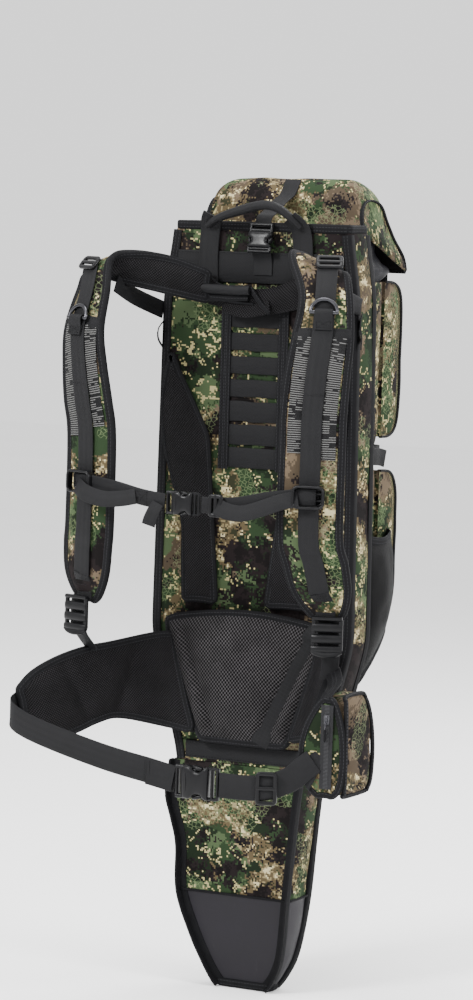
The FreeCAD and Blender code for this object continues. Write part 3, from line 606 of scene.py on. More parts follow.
def pad(kit, pairs, thick, facing, cols=17, steps=5, flange=8.0, edge=4.0, bow=None,
        ends=(1.0, 1.0), folds=0.6, quilt=None, gap=5.0, power=0.55):
    """A padded strip through pairs of edge points, thin where its binding clamps it.

    Its face looks along facing.  flange is the clamped width and edge its thickness, bow bends
    each pair's middle, ends sets how steeply the two ends rise, folds and quilt shape the face,
    and gap is the distance between rows.
    """
    pairs = np.array(pairs, float).reshape(len(pairs), 6)
    data = pairs if bow is None else np.hstack([pairs, np.array(bow, float)])
    rows = even(spline(data, steps), gap)
    a, b = rows[:, :3], rows[:, 3:6]
    bend = rows[:, 6:9] if bow is not None else np.zeros_like(a)
    mid = (a + b) / 2
    along = unit(np.gradient(mid, axis=0))
    wide = unit(b - a)
    out = unit(np.cross(along, wide))
    if (out @ np.array(facing, float)).sum() < 0:
        out = -out
    width = np.linalg.norm(b - a, axis=1)
    t = np.sin(np.linspace(-math.pi / 2, math.pi / 2, cols))
    s = lengths(mid)
    from_edge = np.minimum((1 - np.abs(t))[None] * width[:, None] / 2,
                           np.minimum(s / ends[0], (s[-1] - s) / ends[1])[:, None] * 1.0 + 0.01
                           if ends[0] else 1e3)
    rise = np.clip((from_edge - flange * 0.55) / 13, 0, 1)
    height = edge / 2 + (thick / 2 - edge / 2) * (rise * rise * (3 - 2 * rise)) ** power
    grid = mid[:, None] + wide[:, None] * t[None, :, None] * width[:, None, None] / 2
    grid = grid + bend[:, None] * (1 - t ** 2)[None, :, None]
    height = height + fold_noise(grid, folds, 26, len(pairs)) * rise
    if quilt is not None:
        height = height - quilt(t[None, :], s[:, None] / s[-1], grid) * rise
    top = grid + out[:, None] * height[..., None]
    low = (grid - out[:, None] * height[..., None])[:, ::-1]
    verts = np.concatenate([top, low], 1)
    u = t[None] * width[:, None] / 2
    cloth = np.zeros(verts.shape[:2] + (2,))
    cloth[..., 0] = np.concatenate([u, u[:, ::-1]], 1)
    cloth[..., 1] = s[:, None]
    n, m = verts.shape[:2]
    faces = lattice(n, m, True)
    index = [0 if j % m < cols - 1 or j % m == m - 1 else 1 for j in range(len(faces))]
    # the two ends are closed with rows of quads between the faces
    for i in (0, n - 1):
        for j in range(cols - 1):
            faces.append((i * m + j, i * m + j + 1, i * m + m - 2 - j, i * m + m - 1 - j))
            index.append(0)
    kit.add(verts.reshape(-1, 3), faces, cloth.reshape(-1, 2), index)
    return {"a": a, "b": b, "mid": mid, "along": along, "wide": wide, "out": out, "width": width, "s": s,
            "t": t, "top": top, "bend": bend, "edge": edge}


def bind(kit, p, width=9.0, thick=6.0):
    """Binding tape folded over a pad's edge, all the way round."""
    inset = width / 2 - 1.6
    t = np.linspace(-1, 1, 9)[1:-1]

    def across_end(i, t):
        """Points across the pad's end, from one edge's tape to the other's."""
        spread = np.outer(t, p["wide"][i]) * (p["width"][i] / 2 - inset)
        return p["mid"][i] + spread + p["bend"][i] * (1 - t[:, None] ** 2)

    last = across_end(-1, t) - p["along"][-1] * inset
    first = across_end(0, -t) + p["along"][0] * inset
    line = np.vstack([p["a"] + p["wide"] * inset, last, (p["b"] - p["wide"] * inset)[::-1], first])
    way = np.vstack([-p["wide"], np.repeat(p["along"][-1:], len(t), 0), p["wide"][::-1],
                     np.repeat(-p["along"][:1], len(t), 0)])
    for _ in range(2):
        way = unit(way + 0.5 * (np.roll(way, 1, 0) + np.roll(way, -1, 0)))
        line = 0.5 * line + 0.25 * (np.roll(line, 1, 0) + np.roll(line, -1, 0))
    sweep(kit, line, way, round_section(width, thick, 14, 3.2), 0, True)


AIR_PRESSURE, AIR_FRAMES = 4.0, 20


def puff(obj, pin, cap):
    """Fills a closed piece with air in a cloth simulation, with its seams held, and fixes the result.

    pin gives how firmly each vertex is held, 0 to 1; cap is how far one may move, in millimetres.
    """
    mesh = obj.data
    rest = np.empty(len(mesh.vertices) * 3)
    mesh.vertices.foreach_get("co", rest)
    rest = rest.reshape(-1, 3)
    held = pin(rest / MM)
    group = obj.vertex_groups.new(name="seams")
    for i in np.nonzero(held > 0)[0]:
        group.add([int(i)], float(held[i]), "REPLACE")
    fine = obj.modifiers.get("fine")
    if fine:
        fine.show_viewport = False
    cloth = obj.modifiers.new("air", "CLOTH")
    c = cloth.settings
    c.quality = 6
    c.mass = 0.3
    c.tension_stiffness = c.compression_stiffness = 30
    c.shear_stiffness = 20
    c.bending_stiffness = 2
    c.use_pressure = True
    c.uniform_pressure_force = AIR_PRESSURE
    c.effector_weights.gravity = 0
    c.vertex_group_mass = "seams"
    cloth.point_cache.frame_start, cloth.point_cache.frame_end = 1, AIR_FRAMES
    cloth.collision_settings.use_collision = False
    scene = bpy.context.scene
    for f in range(1, AIR_FRAMES + 1):
        scene.frame_set(f)
    shown = obj.evaluated_get(bpy.context.evaluated_depsgraph_get()).to_mesh()
    moved = np.empty(len(mesh.vertices) * 3)
    shown.vertices.foreach_get("co", moved)
    moved = moved.reshape(-1, 3)
    obj.evaluated_get(bpy.context.evaluated_depsgraph_get()).to_mesh_clear()
    step = moved - rest
    size = np.linalg.norm(step, axis=1, keepdims=True)
    step *= np.minimum(1, cap * MM / np.maximum(size, 1e-9))
    obj.modifiers.remove(cloth)
    if fine:
        fine.show_viewport = True
    obj.vertex_groups.clear()
    mesh.vertices.foreach_set("co", (rest + step).ravel())
    mesh.update()
    scene.frame_set(1)


def ring(x0, x1, y0, y1, z, radius, per=8, bulge=0.0):
    """A rounded rectangle at one height, from the middle of its far side round and back."""
    corners = [(x1, y1, 90), (x1, y0, 0), (x0, y0, -90), (x0, y1, -180)]
    pts = [((x0 + x1) / 2, y1)]
    for cx, cy, turn in corners:
        sx, sy = (1 if cx == x1 else -1), (1 if cy == y1 else -1)
        mx, my = cx - sx * radius, cy - sy * radius
        for a in np.linspace(0, math.pi / 2, 5):
            base = math.radians(turn) - a
            pts.append((mx + radius * math.cos(base), my + radius * math.sin(base)))
    pts.append(pts[0])
    flat = np.array(pts, float)
    # more points along the straight sides, so that they can bulge and fold
    out = [flat[0]]
    for j, (p, q) in enumerate(zip(flat[:-1], flat[1:])):
        n = per if j % 5 == 0 else 1
        for k in range(1, n + 1):
            out.append(p + (q - p) * k / n)
    out = np.array(out)
    if bulge:
        for k in range(len(out)):
            side = abs(out[k, 0] - (x0 + x1) / 2) > (x1 - x0) / 2 - 0.5
            if side:
                w = 1 - ((out[k, 1] - (y0 + y1) / 2) / ((y1 - y0) / 2 - radius)) ** 2
                out[k, 0] += bulge * max(0, w) * (1 if out[k, 0] > 0 else -1)
    return np.column_stack([out, np.full(len(out), z)])


def rings(kit, rows, mat=0, closed_rows=False, folds=0.0, scale=40, seed=0.0, hold=None, cap=None,
          stretch=(1, 1, 1)):
    """A shell through rings of equal length, each from its seam round to its seam."""
    verts = np.array(rows, float)
    n, m = verts.shape[:2]
    centre = verts.mean(1, keepdims=True)
    if folds:
        way = verts - centre
        way[..., 2] = 0
        verts = verts + unit(way) * (fold_noise(verts, folds, scale, seed, stretch)
                                     * (1 if hold is None else hold(verts)))[..., None]
        verts[:, -1] = verts[:, 0]
    cloth = np.zeros((n, m, 2))
    cloth[..., 0] = np.array([lengths(r) for r in verts])
    cloth[..., 0] -= cloth[:, -1:, 0] / 2
    down = np.concatenate([[0], np.cumsum(np.linalg.norm(np.diff(verts, axis=0), axis=2).mean(1))])
    cloth[..., 1] = down[:, None]
    faces = lattice(n, m, False, closed_rows)
    pick = mat if callable(mat) else lambda i: mat
    index = [pick(i // (m - 1)) for i in range(len(faces))]
    if cap is not None:
        faces.append(tuple((n - 1 if cap == "last" else 0) * m + k for k in range(m - 1)))
        index.append(index[-1])
    kit.add(verts.reshape(-1, 3), faces, cloth.reshape(-1, 2), index)
    return verts


def turned(base, *turns):
    """A matrix from a base point and turns such as ("Z", 16), the first one outermost."""
    m = Matrix.Translation(Vector(base))
    for axis, angle in turns:
        m = m @ Matrix.Rotation(math.radians(angle), 4, axis)
    return m


def moved(kit, start, m):
    """Carries every vertex added since start into place."""
    for k in range(start, len(kit.verts)):
        kit.verts[k] = list(m @ Vector(kit.verts[k]))


def apply(points, m):
    """The points after a matrix."""
    return np.array([m @ Vector(p) for p in points])


# ------------------------------------------------------------------ scabbard and boot

PANEL_Z, PANEL_HALF = (290, 450, 880, 960), (96, 138, 133, 120)
WAIST_Z = 680.5             # the webbing that goes round the bag between its pockets


def half(z):
    """Half of the sleeve's width at a height, smoothed over its corners."""
    return float(np.mean([np.interp(z + d, PANEL_Z, PANEL_HALF) for d in (-16, -8, 0, 8, 16)]))


def corner_tape(kit, line, side, rear=False):
    """Binding folded round a long corner of the sleeve."""
    f = -1 if rear else 1
    # across is outward along X, and positive out is towards the other face
    s = [(-10, -2.0), (-5, -2.3), (0.4, -2.1), (1.8, -1.2), (2.3, 0.4), (2.2, 5), (1.8, 9.5), (-0.8, 9.5),
         (-0.8, 0.8), (-10, 0.8)]
    s = np.array([(a, n * f) for a, n in s])
    base = len(kit.verts)
    line = even(spline(line, 5), 8)
    sweep(kit, line, (side, 0, 0), s if side > 0 else s * (1, -1), 0)
    reach = np.concatenate([[0], np.cumsum(np.linalg.norm(np.diff(s, axis=0), axis=1))]) - 5.2
    shift = kit.cloth[base][2]
    count = len(s)
    for k in range(base, len(kit.verts)):
        kit.cloth[k] = (reach[(k - base) % count] * MM, kit.cloth[k][1], shift)


def scabbard():
    """The sleeve with its bound edges and the bands across its face."""
    zs = np.linspace(288.4, 960, 62)
    outer = [ring(-half(z), half(z), -27, 27, z, 5, bulge=2.0) for z in zs]
    inner = [ring(3 - half(z), half(z) - 3, -24, 24, z, 4, bulge=1.0) for z in zs[::-3]]
    kit = Kit()
    rings(kit, outer + inner, lambda i: 0 if i < 61 else 1, True, 2.2, 48, 3.0,
          lambda v: np.where(v[..., 1] < -20, 0.0, 1.0), stretch=(1, 1, 0.5))
    kit.piece("scabbard_sleeve", [CAMO, LINING],
              replaces=("back_panel", "divider_panel", "scabbard_gussets"))
    kit = Kit()
    zs = np.linspace(288.6, 958, 40)
    for side in (-1, 1):
        corner_tape(kit, [(side * half(z), -27, z) for z in zs], side)
        corner_tape(kit, [(side * half(z), 27, z) for z in zs], side, True)
    lip = ring(-119, 119, -25.6, 25.6, 964.2, 6)[:-1]
    sweep(kit, lip, (0, 0, 1), round_section(11.5, 5.4, 14, 3.4), 0, True)
    kit.piece("edge_bindings", [TAPE], replaces=("panel_bindings",))
    kit = Kit()
    web(kit, [(-115, -28.5, 913.5), (0, -28.6, 913.5), (115, -28.5, 913.5)], (0, 0, 1), 39, 1.8)
    web(kit, [(-86, -28.5, 303), (0, -28.6, 303), (86, -28.5, 303)], (0, 0, 1), 22, 1.8)
    for z in (896, 931):
        stitches(kit, [(-114, -29.6, z), (114, -29.6, z)], (0, -1, 0), 1)
    for z in (294, 312):
        stitches(kit, [(-84, -29.6, z), (84, -29.6, z)], (0, -1, 0), 1)
    kit.piece("panel_bands", [BAND, LINING], replaces=("panel_webbing_bands",))


RUNGS, RUNG_Z, RUNG_STEP = 7, 676, 29


def ladder():
    """Webbing rungs up the middle of the panel, between two sewn rails."""
    kit = Kit()
    for i in range(RUNGS):
        z = RUNG_Z + RUNG_STEP * i
        droop = 0.6 * math.sin(i * 2.3)
        web(kit, [(-40, -28.4, z), (-20, -29.0, z - droop), (-4, -29.3, z + droop), (14, -29.0, z),
                  (32, -28.4, z)],
            (0, 0, 1), 22 if i > 2 else 25.5, 1.6)
    for low in (-51, 29):
        rails = (low + 3.8, low + 10.4)
        for x in rails:
            web(kit, [(x, -30.1, 661), (x, -30.1, 765), (x, -30.1, 868)], (1, 0, 0), 7.6, 1.8, 1)
        for x in rails:
            stitches(kit, [(x, -31.1, 664), (x, -31.1, 866)], (0, -1, 0), 2, 4.2)
    kit.piece("rung_ladder", [BAND, TAPE, LINING], replaces=("harness_ladder",))


# (height, place along X) down each side of the boot
BOOT_LEFT = [(122, -90), (180, -92), (245, -109), (286, -104)]
BOOT_RIGHT = [(122, 64), (226, 73), (286, 80)]


def side_at(rows, z):
    """Where one side of the boot is at a height, smoothed over its corners."""
    return float(np.mean([np.interp(z + d, *zip(*rows)) for d in (-10, -5, 0, 5, 10)]))


def boot():
    """The boot's sleeve, its coated toe and the bindings down to it."""
    zs = np.linspace(121, 287.7, 26)
    outer = [ring(side_at(BOOT_LEFT, z), side_at(BOOT_RIGHT, z), -27, 27, z, 6, bulge=2.0) for z in zs]
    inner = [ring(side_at(BOOT_LEFT, z) + 3, side_at(BOOT_RIGHT, z) - 3, -24, 24, z, 5, bulge=1.0)
             for z in zs[::-3]]
    kit = Kit()
    rings(kit, outer + inner, lambda i: 0 if i < 25 else 1, True, 2.4, 42, 8.0,
          lambda v: np.where(np.abs(v[..., 1]) > 26, 0.5, 1.0), stretch=(1, 1, 0.6))
    kit.piece("boot_sleeve", [CAMO, LINING], "boot", ("boot_panels", "boot_gussets"))
    stations = [(122, -90, 64, 27), (100, -84, 62, 25), (70, -73, 58, 21.5), (40, -60, 52, 17),
                (18, -49, 42, 13.5), (6, -41, 33, 11.5), (0, -35, 27, 9.5)]
    rows = even(spline([(z, a, b, h) for z, a, b, h in stations], 5), 4.5)
    kit = Kit()
    shells = [ring(a, b, -h, h, z, min(7, h * 0.6), bulge=1.5) for z, a, b, h in rows]
    lining = [ring(a + 3, b - 3, 3 - h, h - 3, z + 4, 3.5, bulge=1.0) for z, a, b, h in rows[::-4]]
    rings(kit, lining[:-1] + [shells[0]] + shells[1:], lambda i: 1 if i < len(lining) - 1 else 0, False,
          2.0, 34, 5.0,
          lambda v: np.clip(v[..., 2] / 30, 0, 1) * np.clip((121 - v[..., 2]) / 12, 0, 1), cap="last",
          stretch=(1, 1, 0.7))
    kit.piece("boot_toe_cap", [COATED, LINING], "boot", ("boot_toe",))
    kit = Kit()
    down = [(287.6, -104, 80), (245, -109, 75), (215, -101, 72), (180, -92, 69), (122, -90, 64),
            (70, -73, 58),
            (40, -60, 52), (18, -49, 42), (8, -42.5, 35), (3.5, -38.5, 31)]
    hs = [27, 27, 27, 27, 27, 21.5, 17, 13.5, 12, 10.5]
    for side in (-1, 1):
        for rear in (False, True):
            f = 1 if rear else -1
            line = [((a if side < 0 else b), f * h, z) for (z, a, b), h in zip(down, hs)]
            corner_tape(kit, line, side, rear)
    foot = ring(-41.5, 34, -12, 12, 5.6, 7)[:-1]
    sweep(kit, foot, (0, 0, 1), round_section(10, 5.4, 12, 3), 0, True)
    seam = ring(-91.5, 65.5, -28, 28, 122, 6)[:-1]
    sweep(kit, seam, (0, 0, 1), round_section(3.4, 2.2, 10, 2.4), 0, True)
    kit.piece("boot_tapes", [TAPE], "boot", ("boot_bindings",))
    # the cloth that joins the boot to the sleeve behind, where it folds
    kit = Kit()
    rows = []
    for z in np.linspace(262, 314, 22):
        w = 92 - 2 * abs(z - 288) / 26
        rows.append([(x, 29.0 + 0.6 * math.sin(x / 17), z) for x in np.linspace(-w, min(w, 76), 20)])
    verts = np.array(rows)
    kit.add(verts.reshape(-1, 3), lattice(22, 20))
    fold = kit.piece("boot_fold_cloth", [LINING], ride=False, thick=1.2)
    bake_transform(fold)


# ------------------------------------------------------------------ pads on the panel

def back_pads():
    """The two upright mesh pads, each between bound edges."""
    rows = {
        "left": [(492, -94, -46), (540, -96, -50), (593, -98, -54.5), (640, -112, -58.5), (682, -125, -62),
                 (702, -128, -65), (725, -131, -77), (751, -131, -91), (780, -126, -107), (802, -121, -117)],
        "right": [(492, 22, 100), (540, 28, 102), (593, 35, 104), (640, 43, 112), (660, 47, 116),
                  (702, 60, 123), (725, 70.5, 125), (751, 82, 126), (780, 98, 119), (802, 110, 114)],
    }
    tape = Kit()
    for name, lines in rows.items():
        kit = Kit()
        pairs = [((a, -32.5, z), (b, -32.5, z)) for z, a, b in lines]
        p = pad(kit, pairs, 10.5, (0, -1, 0), cols=21, steps=4, flange=9, edge=5, ends=(1.4, 1.4), folds=0.8)
        obj = kit.piece(f"{name}_back_pad", [DIM_MESH, LINING], fill=0.55, level=1,
                        replaces=("back_pads",))
        z_low, z_high = lines[0][0] + 9, lines[-1][0] - 9
        puff(obj, lambda v: np.where((v[:, 1] > -33) | (v[:, 2] < z_low) | (v[:, 2] > z_high), 1.0, 0.0), 2.5)
        bind(tape, p, 11, 7)
    tape.piece("back_pad_bindings", [TAPE])


def lumbar():
    """The cushion above the belt, with a gutter and a sewn channel in it, and a dark strip down the gutter
    that is painted shadow.
    """
    kit = Kit()
    rows = [(318, -60, 60), (335, -69, 69), (350, -74.5, 75.5), (375, -84, 86), (400, -93, 97),
            (425, -102.5, 108), (440, -108, 111.5), (456, -111, 115), (470, -113, 116)]
    pairs = [((a, -39.5, z), (b, -39.5, z)) for z, a, b in rows]
    bow = [(0, 0, -2), (0, 0, 0), (0, 0, 1), (0, 0, 4), (0, 0, 8), (0, 0, 11), (0, 0, 13), (0, 0, 15),
           (0, 0, 16)]

    def gutter(z):
        """The middle of the gutter between the cushion's bulge and its right-hand side, where a dark strip of
        painted shadow lies.
        """
        return 32 + (z - 334) * 0.52

    def left_seam(z):
        return -34 - (z - 318) * 0.36

    def channel(t, s, grid):
        x, z = grid[..., 0], grid[..., 2]
        return (6.5 * np.exp(-((x - gutter(z)) / 13) ** 4)
                + 6.5 * np.exp(-((x - left_seam(z)) / 5.5) ** 2))

    p = pad(kit, pairs, 25, (0, -1, 0), cols=41, steps=4, flange=9, edge=9, bow=bow, ends=(1.2, 1.2),
            folds=0.8, quilt=channel, gap=4.5)
    obj = kit.piece("lumbar_cushion", [MESH, LINING], fill=0.7, replaces=("lumbar_pad",), level=1)

    def held(v):
        on_seam = (np.abs(v[:, 0] - gutter(v[:, 2])) < 13) | (np.abs(v[:, 0] - left_seam(v[:, 2])) < 4)
        edge = (v[:, 2] < 328) | (v[:, 2] > 476) | (v[:, 1] > -40)
        return np.where(on_seam | edge, 1.0, 0.0)

    puff(obj, held, 6.0)
    kit = Kit()
    bind(kit, p, 11, 11)
    # a dark strip of lining down the gutter is painted shadow, standing for the shade between the cushion's
    # bulge and the wing; it goes into one piece with the binding
    line, wide = [], []
    for mid, top, width in zip(p["mid"][1:-1], p["top"][1:-1], p["width"][1:-1]):
        t = (gutter(mid[2]) - mid[0]) / width * 2 + np.array([-0.1, 0.0, 0.1])
        low, spot, high = (np.array([np.interp(k, p["t"], top[:, c]) for c in range(3)]) for k in t)
        line.append(spot + (0, -0.9, 0))
        wide.append(high - low)
    sweep(kit, np.array(line), np.array(wide), tape_section(24, 1.4), 1)
    kit.piece("lumbar_binding_and_shadow_strip", [TAPE, LINING])


WINGS = {
    "left": ([((-100, -44, 452), (-66, -44, 326)), ((-124, -56, 449), (-106, -57, 334)),
              ((-156, -107, 440), (-143, -102, 346)), ((-173, -139, 436), (-160, -130, 341)),
              ((-191, -177, 426), (-176, -157, 330)), ((-208, -209, 410), (-193, -188, 324)),
              ((-219, -226, 390), (-212, -221, 342))], (1, -0.4, 0)),
    "right": ([((104, -44, 452), (66, -44, 326)), ((126, -56, 450), (100, -60, 334)),
               ((152, -107, 438), (136, -102, 340)), ((166, -150, 425), (152, -140, 326)),
               ((176, -190, 405), (166, -180, 318)), ((182, -220, 385), (178, -216, 322)),
               ((184, -232, 368), (182, -230, 332))], (-1, -0.4, 0)),
}


# depth, place along the wing from 0 to 1, and slant of each sewn channel
WING_SEAMS = ((4.4, 0.34, 0.1), (3.4, 0.66, -0.06))


def hip_wings():
    """The belt's two padded wings, each with two sewn channels."""
    tape = Kit()
    for name, (pairs, facing) in WINGS.items():
        kit = Kit()

        def channel(t, s, grid):
            return sum(deep * np.exp(-((s - place - slant * t) / 0.028) ** 2)
                       for deep, place, slant in WING_SEAMS)

        p = pad(kit, pairs, 14, facing, cols=25, steps=6, flange=9, edge=6, ends=(0.9, 1.4), folds=1.2,
                quilt=channel, power=0.7)
        obj = kit.piece(f"{name}_hip_pad", [DIM_MESH, CAMO if name == "right" else LINING], fill=0.6,
                        replaces=(f"{name}_hip_wing",), level=1)
        mid, wide, width = p["mid"], p["wide"], p["width"]

        def held(v):
            near = np.argmin(((v[:, None] - mid[None]) ** 2).sum(2), 1)
            u = np.abs(((v - mid[near]) * wide[near]).sum(1))
            share = p["s"][near] / p["s"][-1]
            seam = np.minimum(*(np.abs(share - place) for _, place, _ in WING_SEAMS)) < 0.025
            return np.where((u > width[near] / 2 - 12) | (near < 4) | (near > len(mid) - 5) | seam, 1.0, 0.0)

        puff(obj, held, 4.0)
        bind(tape, p, 11, 8.4)
    tape.piece("hip_wing_bindings", [TAPE])


# ------------------------------------------------------------------ shoulder straps

STRAPS = {
    "left": (-1, [((-62, -46, 868), (-62, -46, 908)), ((-98, -78, 878), (-98, -78, 924)),
                  ((-146, -104, 890), (-130, -114, 930)), ((-188, -128, 900), (-148, -140, 922))],
             [((-163, -160, 880), 24, 60), ((-166, -175, 834), 22, 70), ((-160, -182, 792), 20, 76),
              ((-152, -186, 748), 16, 78), ((-145, -187, 705), 16, 78), ((-145, -187, 600), 16, 78),
              ((-151, -179, 570), 16, 78), ((-158, -167, 535), 16, 72), ((-162, -156, 508), 16, 48),
              ((-161, -151, 497), 16, 22)]),
    "right": (1, [((70, -46, 868), (70, -46, 908)), ((98, -78, 882), (90, -78, 930)),
                  ((132, -104, 896), (92, -114, 936)), ((166, -128, 912), (96, -142, 932))],
              [((156, -162, 886), 24, 62), ((160, -176, 836), 22, 72), ((158, -183, 795), 20, 76),
               ((156, -186, 748), 16, 78), ((156, -187, 705), 16, 78), ((156, -187, 600), 16, 78),
               ((160, -179, 570), 16, 78), ((163, -167, 535), 16, 72), ((166, -156, 508), 16, 48),
               ((167, -151, 497), 16, 22)]),
}


STRAP_YAW = 16              # how far a strap's face turns outward below the chest, in degrees


def across(side, yaw):
    """Outward along a strap's width."""
    a = math.radians(side * yaw)
    return side * np.array([math.cos(a), math.sin(a), 0])


def front_of(side, yaw):
    """The way that a strap's face looks."""
    a = math.radians(side * yaw)
    return np.array([math.sin(a), -math.cos(a), 0])


def layer(kit, p, z_high, z_low, u, width, lift=0.6, thick=0.9, mat=0, slide=0.0):
    """A strip laid on a strap's face between two heights, u from its middle line."""
    n = len(p["mid"])
    start = int(np.argmax(p["mid"][:, 2]))
    rows = [i for i in range(start, n) if z_low <= p["mid"][i, 2] <= z_high]
    line, wide = [], []
    for k, i in enumerate(rows):
        at = u + slide * (k / max(1, len(rows) - 1))
        t = np.clip(2 * at / p["width"][i], -0.97, 0.97)
        top = np.array([np.interp(t, p["t"], p["top"][i, :, c]) for c in range(3)])
        left = np.array([np.interp(t - 0.06, p["t"], p["top"][i, :, c]) for c in range(3)])
        right = np.array([np.interp(t + 0.06, p["t"], p["top"][i, :, c]) for c in range(3)])
        line.append(top + p["out"][i] * lift)
        wide.append(right - left)
    return sweep(kit, np.array(line), np.array(wide), tape_section(width, thick), mat)


def shoulder_straps():
    """The padded straps with their webbing, pale strips and stitching."""
    tape, strips, webs, patches = Kit(), Kit(), Kit(), Kit()
    for name, (side, yoke, run) in STRAPS.items():
        pairs = list(yoke)
        for middle, yaw, width in run:
            h = across(side, yaw) * width / 2
            pairs.append((np.array(middle) + h, np.array(middle) - h))
        kit = Kit()
        p = pad(kit, pairs, 14, (0, -1, 0.2), cols=23, flange=10, edge=6, ends=(1.4, 1.0), folds=1.0,
                power=0.7)
        obj = kit.piece(f"{name}_shoulder_strap", [CAMO, DIM_MESH], fill=0.6,
                        replaces=(f"{name}_shoulder_pad",), level=1)
        mid, wide, width = p["mid"], p["wide"], p["width"]

        def held(v, mid=mid, wide=wide, width=width):
            near = np.argmin(((v[:, None] - mid[None]) ** 2).sum(2), 1)
            u = np.abs(((v - mid[near]) * wide[near]).sum(1))
            return np.where((u > width[near] / 2 - 12) | (near < 3) | (near > len(mid) - 4), 1.0,
                            np.where(u < 15, 0.9, 0.0))

        puff(obj, held, 2.0)
        bind(tape, p, 11, 8.6)
        # pale ribbed strips beside the webbing, one on each side
        for u, low in ((-21, 692 if side > 0 else 700), (21, 698 if side > 0 else 715)):
            layer(strips, p, 840, low, u, 17, 0.5, 0.8)
        # the stitched band under the ring, and a seam further down
        i = int(np.argmin(np.abs(mid[:, 2] - 842) + 1e3 * (np.arange(len(mid)) < np.argmax(mid[:, 2]))))
        row = p["top"][i, 2:-2] + p["out"][i] * 0.7
        sweep(patches, row, np.repeat(p["along"][i:i + 1], len(row), 0), tape_section(15, 1.2))
        for d in (-5.5, 5.5):
            stitches(patches, row + p["along"][i] * d + p["out"][i] * 0.6, p["out"][i], 1)
        # webbing that stands off the strap's face
        line = []
        for j in range(8):
            middle, yaw, _ = run[j]
            before, after = np.array(run[max(j - 1, 0)][0]), np.array(run[j + 1][0])
            along = np.array([0, 0, -1.0]) if j in (4, 5) else unit(after - before)
            wide_j = np.cross(front_of(side, yaw), (0, 0, 1))
            out = np.cross(wide_j, along)
            out = unit(out if out[1] < 0 else -out)
            line.append(np.concatenate([np.array(middle) + out * 10.2, unit(wide_j)]))
        first = line[0].copy()
        crest = {"left": (-174, -148.5, 911), "right": (151, -149.5, 921)}[name]
        first[:3] = crest
        data = np.array([first] + line)
        web(webs, data[:, :3], data[:, 3:], 25, 1.7, 0, 6, 4)
        # its sewn end near the strap's tip
        end = data[-1]
        tip = np.array(run[-2][0]) + front_of(side, STRAP_YAW) * 7.5
        web(webs, [end[:3] + front_of(side, STRAP_YAW) * -0.2, tip + (0, 0, 8),
                   tip - (0, 0, 9) + front_of(side, STRAP_YAW) * -2],
            end[3:], 24, 1.7)
        s0 = end[:3] + front_of(side, STRAP_YAW) * 1.2
        box_stitch(patches, s0 - (0, 0, 4), end[3:], (0, 0, 1), front_of(side, STRAP_YAW), 9, 9, 1)
        seam = data[3][:3] * 0.45 + data[4][:3] * 0.55 + front_of(side, 17) * 1.3
        stitches(patches, [seam - data[4][3:] * 11, seam + data[4][3:] * 11], front_of(side, 17), 1, 3.4)
    tape.piece("strap_bindings", [TAPE])
    strips.piece("reflective_strips", [REFLECT])
    webs.piece("strap_webbing", [WEB], replaces=("strap_webbings",))
    patches.piece("strap_patches", [BAND, LINING])


def yoke():
    """The pad between the straps, with the roll and flap on its face."""
    kit = Kit()
    rows = [(-66, 866, 902), (-50, 864, 892), (-20, 858, 888), (8, 856, 888), (30, 858, 892), (52, 863, 902),
            (74, 868, 908)]
    pairs = [((x, -37, a), (x, -37, b)) for x, a, b in rows]
    pad(kit, pairs, 17, (0, -1, 0), cols=17, flange=6, edge=7, ends=(1.2, 1.2), folds=1.4, gap=4)
    kit.piece("yoke_cushion", [DIM_MESH, LINING], fill=0.6, replaces=("yoke_pad",), level=1)
    kit = Kit()
    tube(kit, [(-74, -50.6, 887), (-55, -51.2, 886), (-20, -51.4, 885.5), (-2, -50.6, 886)], 6, 0, 5, 3)
    # the folded flap that hangs under the roll, and the bound edges beside it
    web(kit, [(-62, -47.5, 878), (-30, -49, 877), (-6, -47.5, 878)], (0, 0.25, 1), 12, 2.2, 1)
    web(kit, [(-40, -46.8, 866), (-8, -48.5, 860), (24, -47, 866)], (0, 0.2, 1), 17, 2.4, 2)
    tube(kit, [(-64, -47.8, 871), (-44, -50, 872.5), (-20, -49.5, 870), (2, -47.8, 869)], 1.6, 1, 6, 2)
    tube(kit, [(-3, -47.5, 889), (4, -48, 880), (14, -48, 868), (24, -47, 858)], 3.0, 1, 6, 2)
    kit.piece("yoke_roll", [WEB, TAPE, DIM_MESH], slot="black_tape")


def lifters():
    """The webbing from each strap's crest back to the panel, with its loose tail."""
    kit = Kit()
    for side, front, back in ((-1, (-151, -124, 890), (-137.5, -24, 856)),
                              (1, (122, -120, 908), (137.5, -24, 870))):
        lo, hi = np.array(front, float), np.array(back, float)
        web(kit, [lo, lo * 0.6 + hi * 0.4 - (0, 0, 3), hi], (0, 0, 1), 22, 1.6)
        x, y, z = back
        tail = [(x, y + 2, z - 14), (x + side * 3, y - 6, z - 24), (x + side * 4, y - 4, z - 36),
                (x + side, y + 2, z - 46)]
        web(kit, tail, (0.45, -0.89, 0), 20, 1.5)
    kit.piece("load_lifter_webbing", [WEB], replaces=("load_lifters",))


def bars(kit, width, tall, thick, rims, cross):
    """A moulded frame: two side rails and rounded bars at given heights, (z, height, depth, forward)."""
    for side in (-1, 1):
        x = side * (width / 2 - rims / 2)
        end = tall / 2 - 1.5
        line = [(x, 0, z) for z in (-end, -tall / 4, 0, tall / 4, end)]
        sweep(kit, even(spline(line, 3), 3), (1, 0, 0), round_section(rims, thick, 12, 3.6))
    for z, high, deep, fwd in cross:
        line = [(x, -fwd * (1 - (2 * x / width) ** 4), z)
                for x in np.linspace(-width / 2 + 1.2, width / 2 - 1.2, 13)]
        sweep(kit, line, (0, 0, 1), round_section(high, deep, 14, 2.6))


# height, size, depth and forward bow of each bar
LOCK_BARS = ((19.5, 5, 7, 0.5), (8.5, 11, 6.0, 1.0), (-5, 11, 6.6, 1.8), (-17.5, 9, 7, 2.0))


